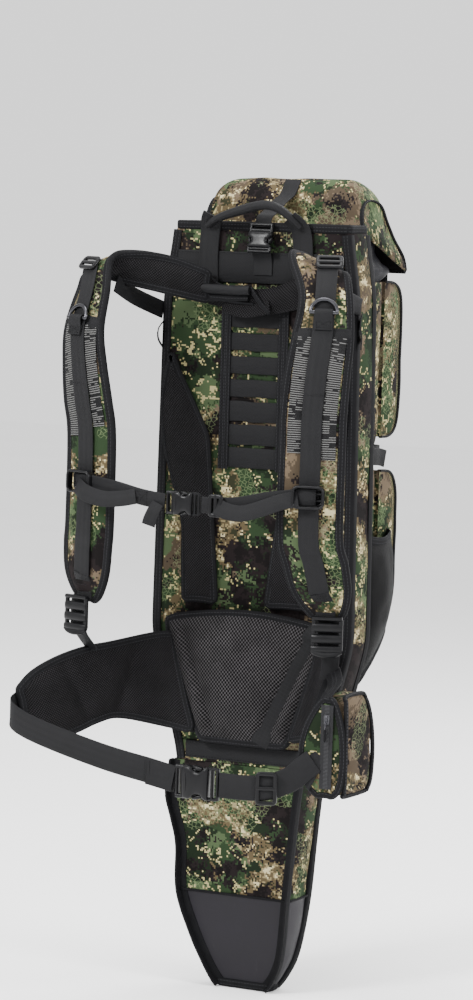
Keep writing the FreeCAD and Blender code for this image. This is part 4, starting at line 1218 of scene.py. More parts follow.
def ladder_locks():
    """The adjusters at the straps' tips and the webbing through them."""
    for name, (x, y, z), side in (("left", (-172, -166, 482), -1), ("right", (173, -166, 482), 1)):
        kit = Kit()
        bars(kit, 38, 40, 5, 5, LOCK_BARS)
        # the lifting lip at its foot
        lip = [(-17, -1.6, -19), (-11, -3.0, -22.4), (0, -3.8, -24), (11, -3.0, -22.4), (17, -1.6, -19)]
        sweep(kit, even(spline(lip, 6), 2), (0, 0.4, 1), round_section(7.5, 4.4, 12, 2.8))
        moved(kit, 0, turned((x, y, z), ("Z", side * STRAP_YAW)))
        kit.piece(f"{name}_adjuster", [PLASTIC], f"{name}_ladder_lock",
                        (f"{name}_ladder_lock",), angle=70)
    kit = Kit()
    for side, x in ((-1, -172), (1, 173)):
        f = front_of(side, STRAP_YAW)
        w = np.cross(f, (0, 0, 1))
        tip = np.array([x + side * -8, -154, 506.0])
        lock = np.array([x, -166, 0.0])
        end = [(-170, -148, 448), (-165, -137, 434)] if side < 0 else [(171, -152, 440), (168, -150, 424)]
        web(kit, [tip, lock + (0, 9, 500), lock + (0, 6.4, 490), lock + (0, 6.2, 478),
                  lock + (0, 6.4, 464)], w, 29, 1.6)
        web(kit, [lock + (0, 8, 480), lock + (0, 8.4, 466), lock + (0, 12, 456), *end], w, 21, 1.6)
    kit.piece("lower_strap_webbing", [WEB], replaces=("lower_webbings",))


# name, middle, side and lean of each D-ring, which faces outward by RING_TURN degrees
RINGS = (("left", (-170.7, -184.4, 848), -1, 18), ("right", (163, -181, 868), 1, 15.6))
RING_RADIUS, RING_TURN = 16, 22


def rings_and_tabs():
    """The D-rings and the webbing loops that hold them."""
    for name, spot, side, lean in RINGS:
        arc = [(RING_RADIUS * math.cos(a), 0, RING_RADIUS * math.sin(a)) for a in np.linspace(0, math.pi, 22)]
        bar = [(x, 0, 0) for x in np.linspace(-14, 14, 9)]
        kit = Kit()
        sweep(kit, np.array(arc + bar), (0, 1, 0), round_section(4.8, 4.8, 14), 0, True)
        moved(kit, 0, turned(spot, ("Z", side * RING_TURN), ("X", -lean)))
        kit.piece(f"{name}_ring", [RING], f"{name}_d_ring", (f"{name}_d_ring",), slot="black_plastic",
                  angle=80)
    kit = Kit()
    for _, spot, side, lean in RINGS:
        m = turned(spot, ("Z", side * RING_TURN), ("X", -lean))
        wrap = [(0, 1.2, -21), (0, 0.2, -12), (0, -2.4, -5), (0, -3.8, 0), (0, -1.6, 3.6), (0, 1.8, 3.4),
                (0, 3.6, 0),
                (0, 2.6, -6), (0, 1.6, -20)]
        wide, out, up = apply([(1, 0, 0), (0, -1, 0), (0, 0, 1)], m.to_3x3().to_4x4())
        web(kit, apply(wrap, m), wide, 22, 1.5, 0, 5, 2)
        box_stitch(kit, apply([(0, -0.8, -14)], m)[0], wide, up, out, 8.5, 4.5, 1)
    kit.piece("ring_loops", [WEB, LINING], replaces=("ring_tabs",))


def grab_handle():
    """The handle at the head of the panel."""
    kit = Kit()
    for x, lean in ((-71, 3), (60, -4)):
        web(kit, [(x, -30.6, 884), (x, -30.9, 905), (x, -31.2, 935), (x + lean * 0.6, -31.8, 958),
                  (x + lean * 1.6, -37, 969), (x + lean * 3.6, -43, 977)], (1, 0, 0), 27, 2.2)
        box_stitch(kit, (x, -32.1, 892), (1, 0, 0), (0, 0, 1), (0, -1, 0), 10, 8, 1)
    arch = [(-69, -36, 965), (-58, -43, 971), (-42, -49, 977), (-22, -52, 983), (0, -53, 989), (18, -53, 992),
            (34, -50.5, 988), (48, -44, 977), (57, -36, 966)]
    line = even(spline(arch, 6), 3)
    size = 0.88 + 0.12 * np.cos(np.linspace(-math.pi, math.pi, len(line)))
    sweep(kit, line, (0, 1, 0), round_section(15, 12, 14, 2.4), 0, size=size)
    kit.piece("carry_handle", [WEB, LINING], replaces=("grab_handle",))


# ------------------------------------------------------------------ buckles and belts

def socket(kit, wide, tall, deep, m, loops):
    """The female half of a side-release buckle: its mouth at z = 0, waisted where the plug's ends show."""
    start = len(kit.verts)
    body = tall * (1 - loops)
    shape = [(0, 0.5, 0.92), (0.06, 0.5, 1.0), (0.22, 0.5, 1.0), (0.34, 0.44, 0.98), (0.46, 0.355, 0.94),
             (0.6, 0.335, 0.92), (0.72, 0.36, 0.94), (0.86, 0.47, 0.98), (0.95, 0.5, 0.96), (1.0, 0.49, 0.86)]
    rows = even(spline(shape, 4), 0.03)
    verts = []
    for f, w, d in rows:
        sec = round_section(2 * w * wide, deep * d, 24, 5.0)
        dome = 0.09 * deep * math.sin(math.pi * min(1, f))
        verts.append([(a, b + (dome if b > 0 else -dome), -f * body) for a, b in sec])
    n, c = len(verts), 24
    kit.add(np.array(verts).reshape(-1, 3), lattice(n, c, True) + [tuple(range(c)),
            tuple((n - 1) * c + k for k in range(c))])
    # a raised rib on the face, and the webbing bars
    web(kit, [(-0.3 * wide, -deep / 2 - 0.2, -0.12 * body), (0, -deep * 0.56, -0.15 * body),
              (0.3 * wide, -deep / 2 - 0.2, -0.12 * body)], (0, 0, 1), 1.6, 1.2)
    for side in (-1, 1):
        web(kit, [(side * wide * 0.45, 0, -body * 0.93), (side * wide * 0.46, 0, -tall * 0.85),
                  (side * wide * 0.45, 0, -tall + 2)], (1, 0, 0), wide * 0.1, deep * 0.42)
    for f in (0.99, 0.985 - loops * 0.5):
        sweep(kit, [(x, 0, -tall * f + 1.2) for x in np.linspace(-wide * 0.47, wide * 0.47, 9)], (0, 0, 1),
              round_section(3.6, deep * 0.5, 12, 2.6))
    moved(kit, start, m)


def plug(kit, wide, reach, deep, m):
    """The male half: a slotted base and two arms that spring out at the socket's waist."""
    start = len(kit.verts)
    for z, high in ((2.2, 4.2), (9.4, 3.6)):
        sweep(kit, [(x, 0, z) for x in np.linspace(-wide * 0.46, wide * 0.46, 11)], (0, 0, 1),
              round_section(high, deep * 0.62, 12, 3))
    for side in (-1, 1):
        sweep(kit, [(side * wide * 0.44, 0, z) for z in (0.6, 3.5, 7, 10.8)], (1, 0, 0),
              round_section(wide * 0.12, deep * 0.6, 12, 3.4))
        arm = [(side * wide * 0.30, 0, 1.5), (side * wide * 0.34, 0, -reach * 0.25),
               (side * wide * 0.37, 0, -reach * 0.55),
               (side * wide * 0.36, 0, -reach * 0.85)]
        line = even(spline(arm, 5), 1.5)
        sweep(kit, line, (1, 0, 0), round_section(wide * 0.1, deep * 0.42, 12, 3.2))
    moved(kit, start, m)


def buttons(kit, wide, tall, deep, m, loops):
    """The plug's sprung ends, which fill the socket's waist on each side."""
    start = len(kit.verts)
    body = tall * (1 - loops)
    for side in (-1, 1):
        line = [(side * wide * 0.47, 0, -body * 0.36), (side * wide * 0.455, 0, -body * 0.46),
                (side * wide * 0.425, 0, -body * 0.6), (side * wide * 0.405, 0, -body * 0.74)]
        line = even(spline(line, 5), 1.2)
        size = 0.6 + 0.4 * np.sin(np.linspace(0.2, math.pi - 0.5, len(line)))
        sweep(kit, line, (1, 0, 0), round_section(wide * 0.13, deep * 0.72, 14, 2.8), size=size)
    moved(kit, start, m)


def buckle(female, male, turn, wide, tall, deep, reach, loops=0.3):
    """Both halves of a side-release buckle; each is (name, body, node)."""
    kit = Kit()
    socket(kit, wide, tall, deep, turn, loops)
    name, body, node = female
    kit.piece(name, [PLASTIC], body, (node,), angle=60)
    kit = Kit()
    plug(kit, wide, reach, deep, turn)
    buttons(kit, wide, tall, deep, turn, loops)
    name, body, node = male
    kit.piece(name, [PLASTIC], body, (node,), angle=60)


def slider_frame(kit, wide, tall, deep, m):
    """A tri-glide: a rounded frame with a middle bar."""
    start = len(kit.verts)
    r = 2.6
    loop = ring(-wide / 2 + r, wide / 2 - r, -tall / 2 + r, tall / 2 - r, 0, 3.0, 3)[:-1]
    line = np.column_stack([loop[:, 0], loop[:, 2], loop[:, 1]])
    sweep(kit, line, (0, 1, 0), round_section(deep, 2 * r, 12, 3.2), 0, True)
    sweep(kit, [(x, -0.4, 0) for x in np.linspace(-wide / 2 + 1, wide / 2 - 1, 9)], (0, 0, 1),
          round_section(5, deep * 0.9, 12, 2.8))
    moved(kit, start, m)


def triglides():
    """The sliders on the webbing of the straps, the belt and the bag."""
    kit = Kit()
    for (x, y, z), side in (((-176, -147, 915), -1), ((152, -146, 927), 1)):
        slider_frame(kit, 33, 20, 4.4, turned((x, y, z), ("Z", side * 26), ("X", -42)))
    slider_frame(kit, 26, 40, 5.6, turned((150, -272, 308), ("Z", 22)))
    for side in (-1, 1):
        slider_frame(kit, 24, 32, 4.4, turned((side * 114.4, 62, WAIST_Z), ("Z", 90)))
    kit.piece("tri_glides", [PLASTIC], replaces=("triglides",), angle=75)


def hip_belt():
    """The belt's webbing on both sides and its buckle."""
    kit = Kit()
    left = [(-214, -209, 374), (-221.5, -224, 368), (-221.5, -236, 363), (-213, -245.5, 357.5),
            (-196, -252, 351), (-168, -258.5, 344), (-120, -266, 334),
            (-60, -273, 323), (0, -276, 314), (32, -277, 308)]
    web(kit, left, (0, 0.05, 1), 31, 1.8, 0, 8, 5)
    web(kit, [(-6, -278.5, 314), (10, -279, 311.5), (30, -279.6, 308)], (0, 0.05, 1), 31, 1.8)
    stitches(kit, [(-3, -279.6, 301), (-3, -279.6, 326)], (0, -1, 0), 1, 3.6)
    stitches(kit, [(-10, -278.6, 303), (-10, -278.6, 327)], (0, -1, 0), 1, 3.6)
    belt = kit.piece("left_belt_webbing", [WEB, LINING], replaces=("left_hip_webbing",))
    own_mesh(belt)
    kit = Kit()
    right = [(86, -277, 307), (104, -277.4, 307), (126, -275.4, 307), (150, -267, 309), (172, -252, 319),
             (184, -244.5, 331), (196, -241, 341)]
    web(kit, right, (-0.25, 0, 1), 30, 1.8, 0, 8, 5)
    web(kit, [(92, -280.2, 307), (116, -279, 307), (136, -276, 307.5), (158, -267, 312)], (0, 0.05, 1), 29,
        1.6)
    # the black gusset it is sewn to, on the pocket's lower corner
    line = even(np.array([(178, -241.6, 320), (186, -240.6, 328), (194, -239.6, 338), (202, -238.8, 349)],
                         float), 3)
    sweep(kit, line, (-0.7, 0, 0.7), tape_section(38, 1.4), 0, False, np.linspace(1, 0.35, len(line)))
    kit.piece("right_belt_webbing", [WEB, LINING], replaces=("right_hip_webbing",))
    buckle(("belt_socket", "pack", "hip_socket"), ("belt_plug", "hip_plug", "hip_plug"),
           turned((44, -277, 307), ("Y", -90)), wide=40, tall=46, deep=14, reach=20)


def sternum():
    """The chest strap: its glides, webbing, buckle and adjuster."""
    kit = Kit()
    bars_x = np.linspace(-15, 15, 9)
    for x, side in ((-149.3, -1), (160.3, 1)):
        base = np.array([x, -201.9, 649]) - front_of(side, STRAP_YAW) * 8.5
        m = turned(base, ("Z", side * STRAP_YAW))
        start = len(kit.verts)
        loop = ring(-15.6, 15.6, -9.6, 9.6, 0, 3.5, 3)[:-1]
        line = np.column_stack([loop[:, 0], np.full(len(loop), -3.0), loop[:, 1]])
        sweep(kit, line, (0, 1, 0), round_section(6.4, 3.8, 12, 3.2), 0, True)
        # the frame that the webbing's end passes through, in front of the strap
        rim = ring(-18, 18, -12.5, 12.5, 0, 5.5, 3)[:-1]
        sweep(kit, np.column_stack([rim[:, 0], np.full(len(rim), -12.0), rim[:, 1]]), (0, 1, 0),
              round_section(10, 3.4, 12, 3.2), 0, True)
        for z in (-4.2, 4.2):
            sweep(kit, [(a, -6.0, z) for a in bars_x], (0, 0, 1), round_section(3.4, 3.0, 12, 2.6))
        sweep(kit, [(a, 0.6, 0) for a in bars_x], (0, 0, 1), round_section(16, 1.6, 12, 4))
        # the small hook that keeps the strap's tail
        hook = [(-side * 15, -3, 6), (-side * 20, -3.6, 7), (-side * 22.5, -4, 3), (-side * 21, -4, -1)]
        sweep(kit, even(spline(hook, 5), 1.5), (0, 1, 0), round_section(3.2, 2.2, 10), 0)
        moved(kit, start, m)
    kit.piece("sternum_glides", [PLASTIC], "sternum_strap", ("sternum_sliders",), angle=70)
    kit = Kit()
    left = [(-158, -200.4, 649), (-149, -204.6, 649), (-139, -206.5, 648.6), (-95, -215, 644),
            (-55, -221, 637),
            (-22, -222, 633)]
    web(kit, left, (0, 0, 1), 20, 1.6, 0, 7, 4)
    # the doubled end: it leaves the glide, bows forward and comes back to a sewn patch
    loop = [(-152, -208, 645), (-132, -222, 637), (-104, -229, 632), (-78, -225.5, 634), (-62, -222.8, 637.5)]
    web(kit, loop, (0.05, 0.35, 1), 20, 1.6, 0, 7, 4)
    box_stitch(kit, (-54, -223.2, 636.6), unit((1, 0, -0.12)), (0, 0, 1), (0, -1, 0), 7, 7.5, 1)
    tail = [(-30, -224.5, 631), (-34, -228, 622), (-38, -229, 612), (-41, -227.5, 604)]
    web(kit, tail, (1, 0.1, 0.2), 17, 1.5, 0, 6, 3)
    strap = kit.piece("left_chest_webbing", [WEB, LINING], "sternum_strap", ("left_sternum_webbing",))
    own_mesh(strap)
    kit = Kit()
    right = [(28, -222, 633), (38, -222.4, 633), (75, -220, 635), (112, -213, 643), (150, -206.4, 648.6),
             (160, -204.2, 649), (169, -200.4, 649)]
    web(kit, right, (0, 0, 1), 20, 1.6, 0, 7, 4)
    loop = [(50, -226.4, 633), (66, -231, 628), (86, -231, 626.5), (108, -225, 633), (130, -216, 642),
            (150, -209.8, 647)]
    web(kit, loop, (0, 0.3, 1), 20, 1.6, 0, 7, 4)
    kit.piece("right_chest_webbing", [WEB], "sternum_strap", ("right_sternum_webbing",))
    buckle(("chest_socket", "sternum_strap", "sternum_socket"),
           ("chest_plug", "sternum_plug", "sternum_plug"),
           turned((-8, -222, 633), ("Y", -90)), wide=28, tall=34, deep=11, reach=15)
    kit = Kit()
    slider_frame(kit, 28, 20, 4.6, turned((49, -226, 633), ("Y", 90)))
    kit.piece("chest_adjuster", [PLASTIC], "sternum_strap", ("sternum_adjuster",), angle=70)


# ------------------------------------------------------------------ hip pocket

def pouch_ring(outline, z, shrink, centre):
    """The pocket's outline at one height, drawn in towards its centre."""
    pts = spline(outline, 5, True)
    c = np.array(centre)
    flat = c + (pts - c) * shrink
    return np.column_stack([flat, np.full(len(flat), z)])


def hip_pocket():
    """The pocket on the right wing, its leaf-shaped face and its trim."""
    outline = [(191, -162), (191, -190), (191, -214), (196, -228), (210, -232), (224, -231), (233, -222),
               (235, -195),
               (234, -168), (226, -159), (208, -158)]
    zs = [(298, 0.55), (299.5, 0.78), (304, 0.9), (314, 0.98), (335, 1.02), (355, 1.02), (378, 0.97),
          (398, 0.87),
          (411, 0.74), (417.5, 0.6), (420, 0.4)]
    rows = even(spline(zs, 4), 4)
    kit = Kit()
    verts = []
    for z, k in rows:
        loop = pouch_ring(outline, z, k, (212, -197))
        loop[:, 1] = np.maximum(loop[:, 1], -232)
        verts.append(np.vstack([loop, loop[:1]]))
    verts = np.array(verts)
    n, m = verts.shape[:2]
    verts[..., 0] += fold_noise(verts, 1.8, 24, 2.0) * (verts[..., 1] > -232)
    verts[:, -1] = verts[:, 0]
    cloth = np.zeros((n, m, 2))
    cloth[..., 0] = np.array([lengths(r) for r in verts]) - 60
    cloth[..., 1] = verts[..., 2]
    faces = lattice(n, m) + [tuple(range(m - 1)), tuple((n - 1) * m + k for k in range(m - 1))]
    kit.add(verts.reshape(-1, 3), faces, cloth.reshape(-1, 2))
    obj = kit.piece("belt_pocket", [CAMO], fill=0.7, level=1, replaces=("hip_pocket",))
    puff(obj, lambda v: np.where((v[:, 1] < -229) | (v[:, 0] < 194) | (v[:, 2] < 303) | (v[:, 2] > 414),
                                 1.0, 0.0), 4.0)
    # its leaf-shaped face, which also covers the wing's end, with wide binding round it:
    # (height, left edge, right edge)
    rows = ((299, 199, 219), (304, 192, 225), (312, 185, 229.5), (326, 179, 232), (345, 176, 233),
            (365, 177.5, 232),
            (384, 183, 229), (400, 191, 224), (411, 199, 219), (416, 204, 215))

    def front(x):
        """The face comes forward where it passes over the belt's end."""
        return -233.2 - 4.2 * max(0.0, 200 - x) / 24

    kit = Kit()
    p = pad(kit, [((a, front(a), z), (b, front(b), z)) for z, a, b in rows], 5.6, (0, -1, 0),
            flange=4, edge=4, folds=0.5, gap=3.5)
    kit.piece("belt_pocket_face", [CAMO, LINING], fill=0.4, level=1)
    kit = Kit()
    bind(kit, p, 8, 7.6)
    fore = [(212 + 20.6 * k, -197 - 34 * k, z) for z, k in zs[1:-1]]
    aft = [(212 + 22 * k, -197 + 36 * k, z) for z, k in zs[-2:0:-1]]
    tube(kit, fore + aft, 2.8, gap=3, closed=True, count=10, across=(1, 0, 0))
    web(kit, [(205, -236, 414), (203, -215, 421.5), (196, -190, 425), (186, -168, 430), (172, -146, 436)],
        (0.9, 0, 0.4), 20, 1.8)
    kit.piece("belt_pocket_trim", [TAPE])


def zip_pull(kit, line, mat_metal=0, mat_cord=1):
    """A small metal link with a knotted cord loop on it."""
    line = np.array(line, float)
    d = unit(line[-1] - line[0])
    side = unit(np.cross(d, (1, 0.3, 0.2)))
    a, b = line[0], line[0] + d * 8
    loop = [a + side * 1.5, a - side * 1.5, (a + b) / 2 - side * 2.6, b - side * 1.6, b + side * 1.6,
            (a + b) / 2 + side * 2.6]
    tube(kit, loop, 0.7, mat_metal, 5, 1, True, 8, np.cross(d, side))
    c = line[-1]
    cord = [b - d * 1, b + d * 4 - side * 1.8, c - d * 3 - side * 2.4, c, c - d * 3 + side * 2.4,
            b + d * 4 + side * 1.8]
    tube(kit, cord, 1.0, mat_cord, 5, 1, True, 8, np.cross(d, side))
    tube(kit, [b + d * 1.5, b + d * 3, b + d * 4.5], 1.9, mat_cord, 5, 1, False, 10)


def zip_slider(kit, m, long, wide, tall):
    """A zip slider: two plates that narrow to one end, and the bridge above them."""
    start = len(kit.verts)
    for y, h in ((0.9, 1.1), (-0.6, 0.9)):
        shape = [(-long / 2, wide * 0.36), (-long * 0.3, wide * 0.48), (0, wide * 0.45),
                 (long * 0.3, wide * 0.4),
                 (long / 2, wide * 0.3)]
        rows = even(spline(shape, 4), 1.0)
        verts = []
        for x, w in rows:
            sec = round_section(h, 2 * w, 12, 4)
            verts.append([(x, y + a, b) for a, b in sec])
        n = len(verts)
        kit.add(np.array(verts).reshape(-1, 3), lattice(n, 12, True)
                + [tuple(range(12)), tuple((n - 1) * 12 + k for k in range(12))], None, 0)
    bridge = [(-long * 0.32, -1.0, 0), (-long * 0.2, -tall * 0.45, 0), (0, -tall * 0.5, 0),
              (long * 0.22, -tall * 0.42, 0),
              (long * 0.32, -1.0, 0)]
    sweep(kit, even(spline(bridge, 5), 0.8), (0, 0, 1), round_section(2.4, 1.3, 10, 3), 0)
    moved(kit, start, m)


def zips():
    """The zip tapes, sliders and pulls."""
    kit = Kit()
    web(kit, [(211, -239, 309), (211, -239, 359), (211, -239, 409)], (1, 0, 0), 16, 1.0)
    for z in (851, 617):
        web(kit, [(-101, 157.8, z), (0, 157.8, z), (101, 157.8, z)], (0, 0, 1), 22, 1.1)
        for d in (-9, 9):
            stitches(kit, [(-100, 158.5, z + d), (100, 158.5, z + d)], (0, 1, 0), 1)
    kit.piece("zip_tracks", [ZIP, LINING], replaces=("zip_tapes",))
    kit = Kit()
    zip_slider(kit, turned((211, -239.8, 392), ("Y", 90)), 11.5, 8, 3.2)
    kit.piece("belt_zip_slider", [RING], "hip_zip_slider", ("hip_zip_slider",), angle=60)
    kit = Kit()
    zip_pull(kit, [(211, -243.9, 389), (211, -244.0, 366)])
    kit.piece("belt_zip_pull", [RING, TAPE], "hip_zip_pull", ("hip_zip_pull",), slot="pull_cord", angle=60)
    for name, z in (("upper", 851.5), ("lower", 617.5)):
        kit = Kit()
        zip_slider(kit, turned((90, 160.8, z), ("X", 180)), 11.5, 8, 3.2)
        kit.piece(f"{name}_pocket_slider", [RING], f"{name}_zip_slider", (f"{name}_zip_slider",), angle=60)
        kit = Kit()
        zip_pull(kit, [(90, 164.7, z + 4), (90, 164.7, z - 22)])
        kit.piece(f"{name}_pocket_pull", [RING, TAPE], f"{name}_zip_pull", (f"{name}_zip_pull",),
                  slot="pull_cord", angle=60)


# ------------------------------------------------------------------ bag, pockets, collar and lid

def bag():
    """The main bag, drawn in a little under its waist webbing."""
    kit = Kit()
    rows = []
    for s in np.linspace(0, 1, 58):
        base = ring(-110, 110, 27, 104, 0, 13, bulge=3.0)
        low = 381 + (base[:, 1] - 27) * 0.61
        z = low + (899 - low) * s
        pinch = np.exp(-((z - WAIST_Z) / 22) ** 2)
        base[:, 0] *= 1 - 0.035 * pinch
        base[:, 1] -= 3.0 * pinch * (base[:, 1] > 90)
        foot = np.clip((0.06 - s) / 0.06, 0, 1) ** 2
        base[:, 0] *= 1 - 0.06 * foot
        base[:, 2] = z
        rows.append(base)
    rings(kit, rows, 0, False, 2.6, 46, 11.0, lambda v: np.where(v[..., 1] < 31, 0.0, 1.0)
          * np.where(np.abs(v[..., 2] - 680) < 16, 0.3, 1.0), cap="first", stretch=(1, 1, 0.55))
    kit.piece("bag_shell", [CAMO, LINING], thick=2.2,
              replaces=("bag_side_panels", "front_bag_panel", "bottom_bag_panel"))


def pouch(kit, profile, half_x, seed, round_x=9.0, crown=3.0, flat_z=None):
    """A stuffed pocket: a side profile carried across, with rounded ends."""
    prof = even(spline(profile, 4), 5.5)
    turn = -half_x + round_x * (1 - np.cos(np.linspace(0.25, math.pi / 2, 5)))
    xs = np.concatenate([[-half_x], turn, np.linspace(round_x - half_x, half_x - round_x, 34)[1:-1],
                         -turn[::-1], [half_x]])
    base_y = 103.0
    rows = []
    for x in xs:
        e = max(0.0, (abs(x) - (half_x - round_x)) / round_x)
        k = math.sqrt(max(0.02, 1 - e ** 2)) if e else 1.0
        lift = crown * (1 - (x / half_x) ** 2)
        row = []
        for y, z in prof:
            out = (y - base_y) * (0.86 + 0.14 * k)
            mask = 1.0 if flat_z is None else 1 - math.exp(-((z - flat_z) / 26) ** 4)
            row.append((x, base_y + out + lift * mask * min(1, max(0, (y - base_y) / 54)), z))
        rows.append(row)
    verts = np.array(rows)
    verts[..., 1] += fold_noise(verts, 2.0, 40, seed) * np.clip((verts[..., 1] - 112) / 20, 0, 1) * (
        1.0 if flat_z is None else 1 - np.exp(-((verts[..., 2] - flat_z) / 20) ** 4))
    n, m = verts.shape[:2]
    cloth = np.zeros((n, m, 2))
    cloth[..., 0] = xs[:, None]
    cloth[..., 1] = lengths(prof)[None]
    faces = lattice(n, m)
    kit.add(verts.reshape(-1, 3), faces, cloth.reshape(-1, 2))
    # the two ends run back to the bag as flat walls
    for i, x in ((0, xs[0]), (n - 1, xs[-1])):
        edge = verts[i]
        steps = 7
        wall = np.array([edge * (1 - f) + np.column_stack([edge[:, 0], np.full(m, base_y), edge[:, 2]]) * f
                         for f in np.linspace(0, 1, steps)])
        sag = 2.4 * np.sin(np.linspace(0, math.pi, steps))[:, None] * np.sin(np.linspace(0, math.pi, m))[None]
        wall[..., 0] += sag * (1 if x > 0 else -1)
        c = wall[..., 1:]
        kit.add(wall.reshape(-1, 3), lattice(steps, m), c.reshape(-1, 2))
    back = np.array([[(x, base_y, z) for z in (prof[0][1], prof[-1][1])] for x in xs])
    kit.add(back.reshape(-1, 3), lattice(n, 2))
    return verts, xs


def front_pockets():
    """The two stuffed pockets on the bag's front."""
    tape = Kit()
    rows = (("upper", [(103, 703), (124, 703), (140, 708), (151, 721), (157, 750), (157, 800), (157, 862),
                       (152, 882),
                       (142, 893), (126, 898), (103, 899)], 851),
            ("lower", [(103, 441), (122, 449), (137, 462), (149, 482), (157, 512), (157, 570), (157, 624),
                       (151, 645), (138, 656), (122, 659), (103, 660)], 617))
    for name, profile, flat in rows:
        kit = Kit()
        verts, xs = pouch(kit, profile, 111, 4.0 if name == "upper" else 9.0, flat_z=flat)
        obj = kit.piece(f"{name}_pocket", [CAMO], fill=0.8, replaces=(f"{name}_front_pocket",))
        weld = obj.modifiers.new("weld", "WELD")
        weld.merge_threshold = 0.0002
        for i in (2, len(xs) - 3):
            line = verts[i] + np.array([0.8 if xs[i] > 0 else -0.8, 0.8, 0])
            sweep(tape, even(line, 5), (1, 0, 0), round_section(5.5, 3.6, 12, 2.6), 0)
    tape.piece("pocket_piping", [TAPE])


def mesh_pockets():
    """Open pockets on both sides: each bellies out from the bag, and its elastic rim draws in."""
    kit, trim = Kit(), Kit()
    for side in (-1, 1):
        rows = []
        for z_share in np.linspace(0, 1, 30):
            row = []
            for f in np.linspace(0, 1, 26):
                y = 38 + 90 * f
                low = 393 + max(0, f - 0.02) * 70
                rim = 582 - 7 * math.sin(math.pi * f)
                z = low + (rim - low) * z_share
                belly = math.sin(math.pi * f) ** 0.42
                drop = math.sin(math.pi * (0.06 + 0.94 * z_share) * 0.82) ** 0.6
                x = 111.7 + 25.5 * belly * min(1, drop * 1.02) * (1 - 0.16 * z_share ** 6)
                row.append((side * x, y, z))
            rows.append(row)
        verts = np.array(rows)
        loose = np.clip((np.abs(verts[..., 0]) - 113) / 12, 0, 1)
        verts[..., 0] += side * fold_noise(verts, 1.6, 22, 6.0 + side) * loose
        cloth = np.dstack([verts[..., 1] + (np.abs(verts[..., 0]) - 111), verts[..., 2]])
        kit.add(verts.reshape(-1, 3), lattice(30, 26), cloth.reshape(-1, 2), 0)
        rim = verts[-1] + (side * 0.6, 0, -2.5)
        sweep(trim, even(rim, 4), (0, 0, 1), round_section(11, 3.4, 12, 3), 0)
        for edge in (verts[:, 0], verts[:, -1]):
            sweep(trim, even(edge + (side * 0.8, 0, 0), 5), (0, 1, 0), round_section(9, 2.6, 12, 3), 0)
        sweep(trim, even(verts[0] + (side * 0.8, 0, 1), 5), (0, 0, 1), round_section(8, 2.6, 12, 3), 0)
    net = kit.piece("side_mesh_pockets", [NET], replaces=("mesh_side_pockets",), thick=1.3)
    trim.piece("mesh_pocket_trim", [TAPE])


def compression():
    """The webbing round the bag's waist, with an end on each side."""
    kit = Kit()
    side = [(111.8, 36), (112, 60), (111.8, 94), (106, 104.6), (80, 105.3)]
    loop = [(-x, y) for x, y in side] + [(0, 105.4)] + side[::-1]
    line = even(spline([(x, y, WAIST_Z) for x, y in loop], 8), 4)
    sweep(kit, line, (0, 0, 1), tape_section(25, 1.7), 0)
    for side in (-1, 1):
        web(kit, [(side * 116.8, 60, WAIST_Z), (side * 118.2, 74, 680), (side * 117.5, 90, 678.5),
                  (side * 119, 101, 676)],
            (0, 0, 1), 22, 1.5)
    kit.piece("waist_webbing", [WEB], replaces=("compression_strap",))


def collar():
    """The gathered neck between the bag and its lid."""
    kit = Kit()
    rows = []
    for s in np.linspace(0, 1, 26):
        z = 896 + 55 * s
        # it swells out over the pocket below before it closes in under the lid
        swell = math.exp(-((z - 912) / 11) ** 2)
        rows.append(ring(-106 + 3 * s - 2 * swell, 106 - 3 * s + 2 * swell, 31, 99 - 2 * s + 36 * swell, z,
                         14))
    rings(kit, rows, 0, False, 5.0, 19, 2.0, lambda v: np.clip((v[..., 2] - 898) / 14, 0.1, 1)
                  * np.where(v[..., 1] < 36, 0.25, 1.0), stretch=(1, 1, 0.8))
    neck = kit.piece("bag_collar", [SHINY], replaces=("collar",), thick=1.2)


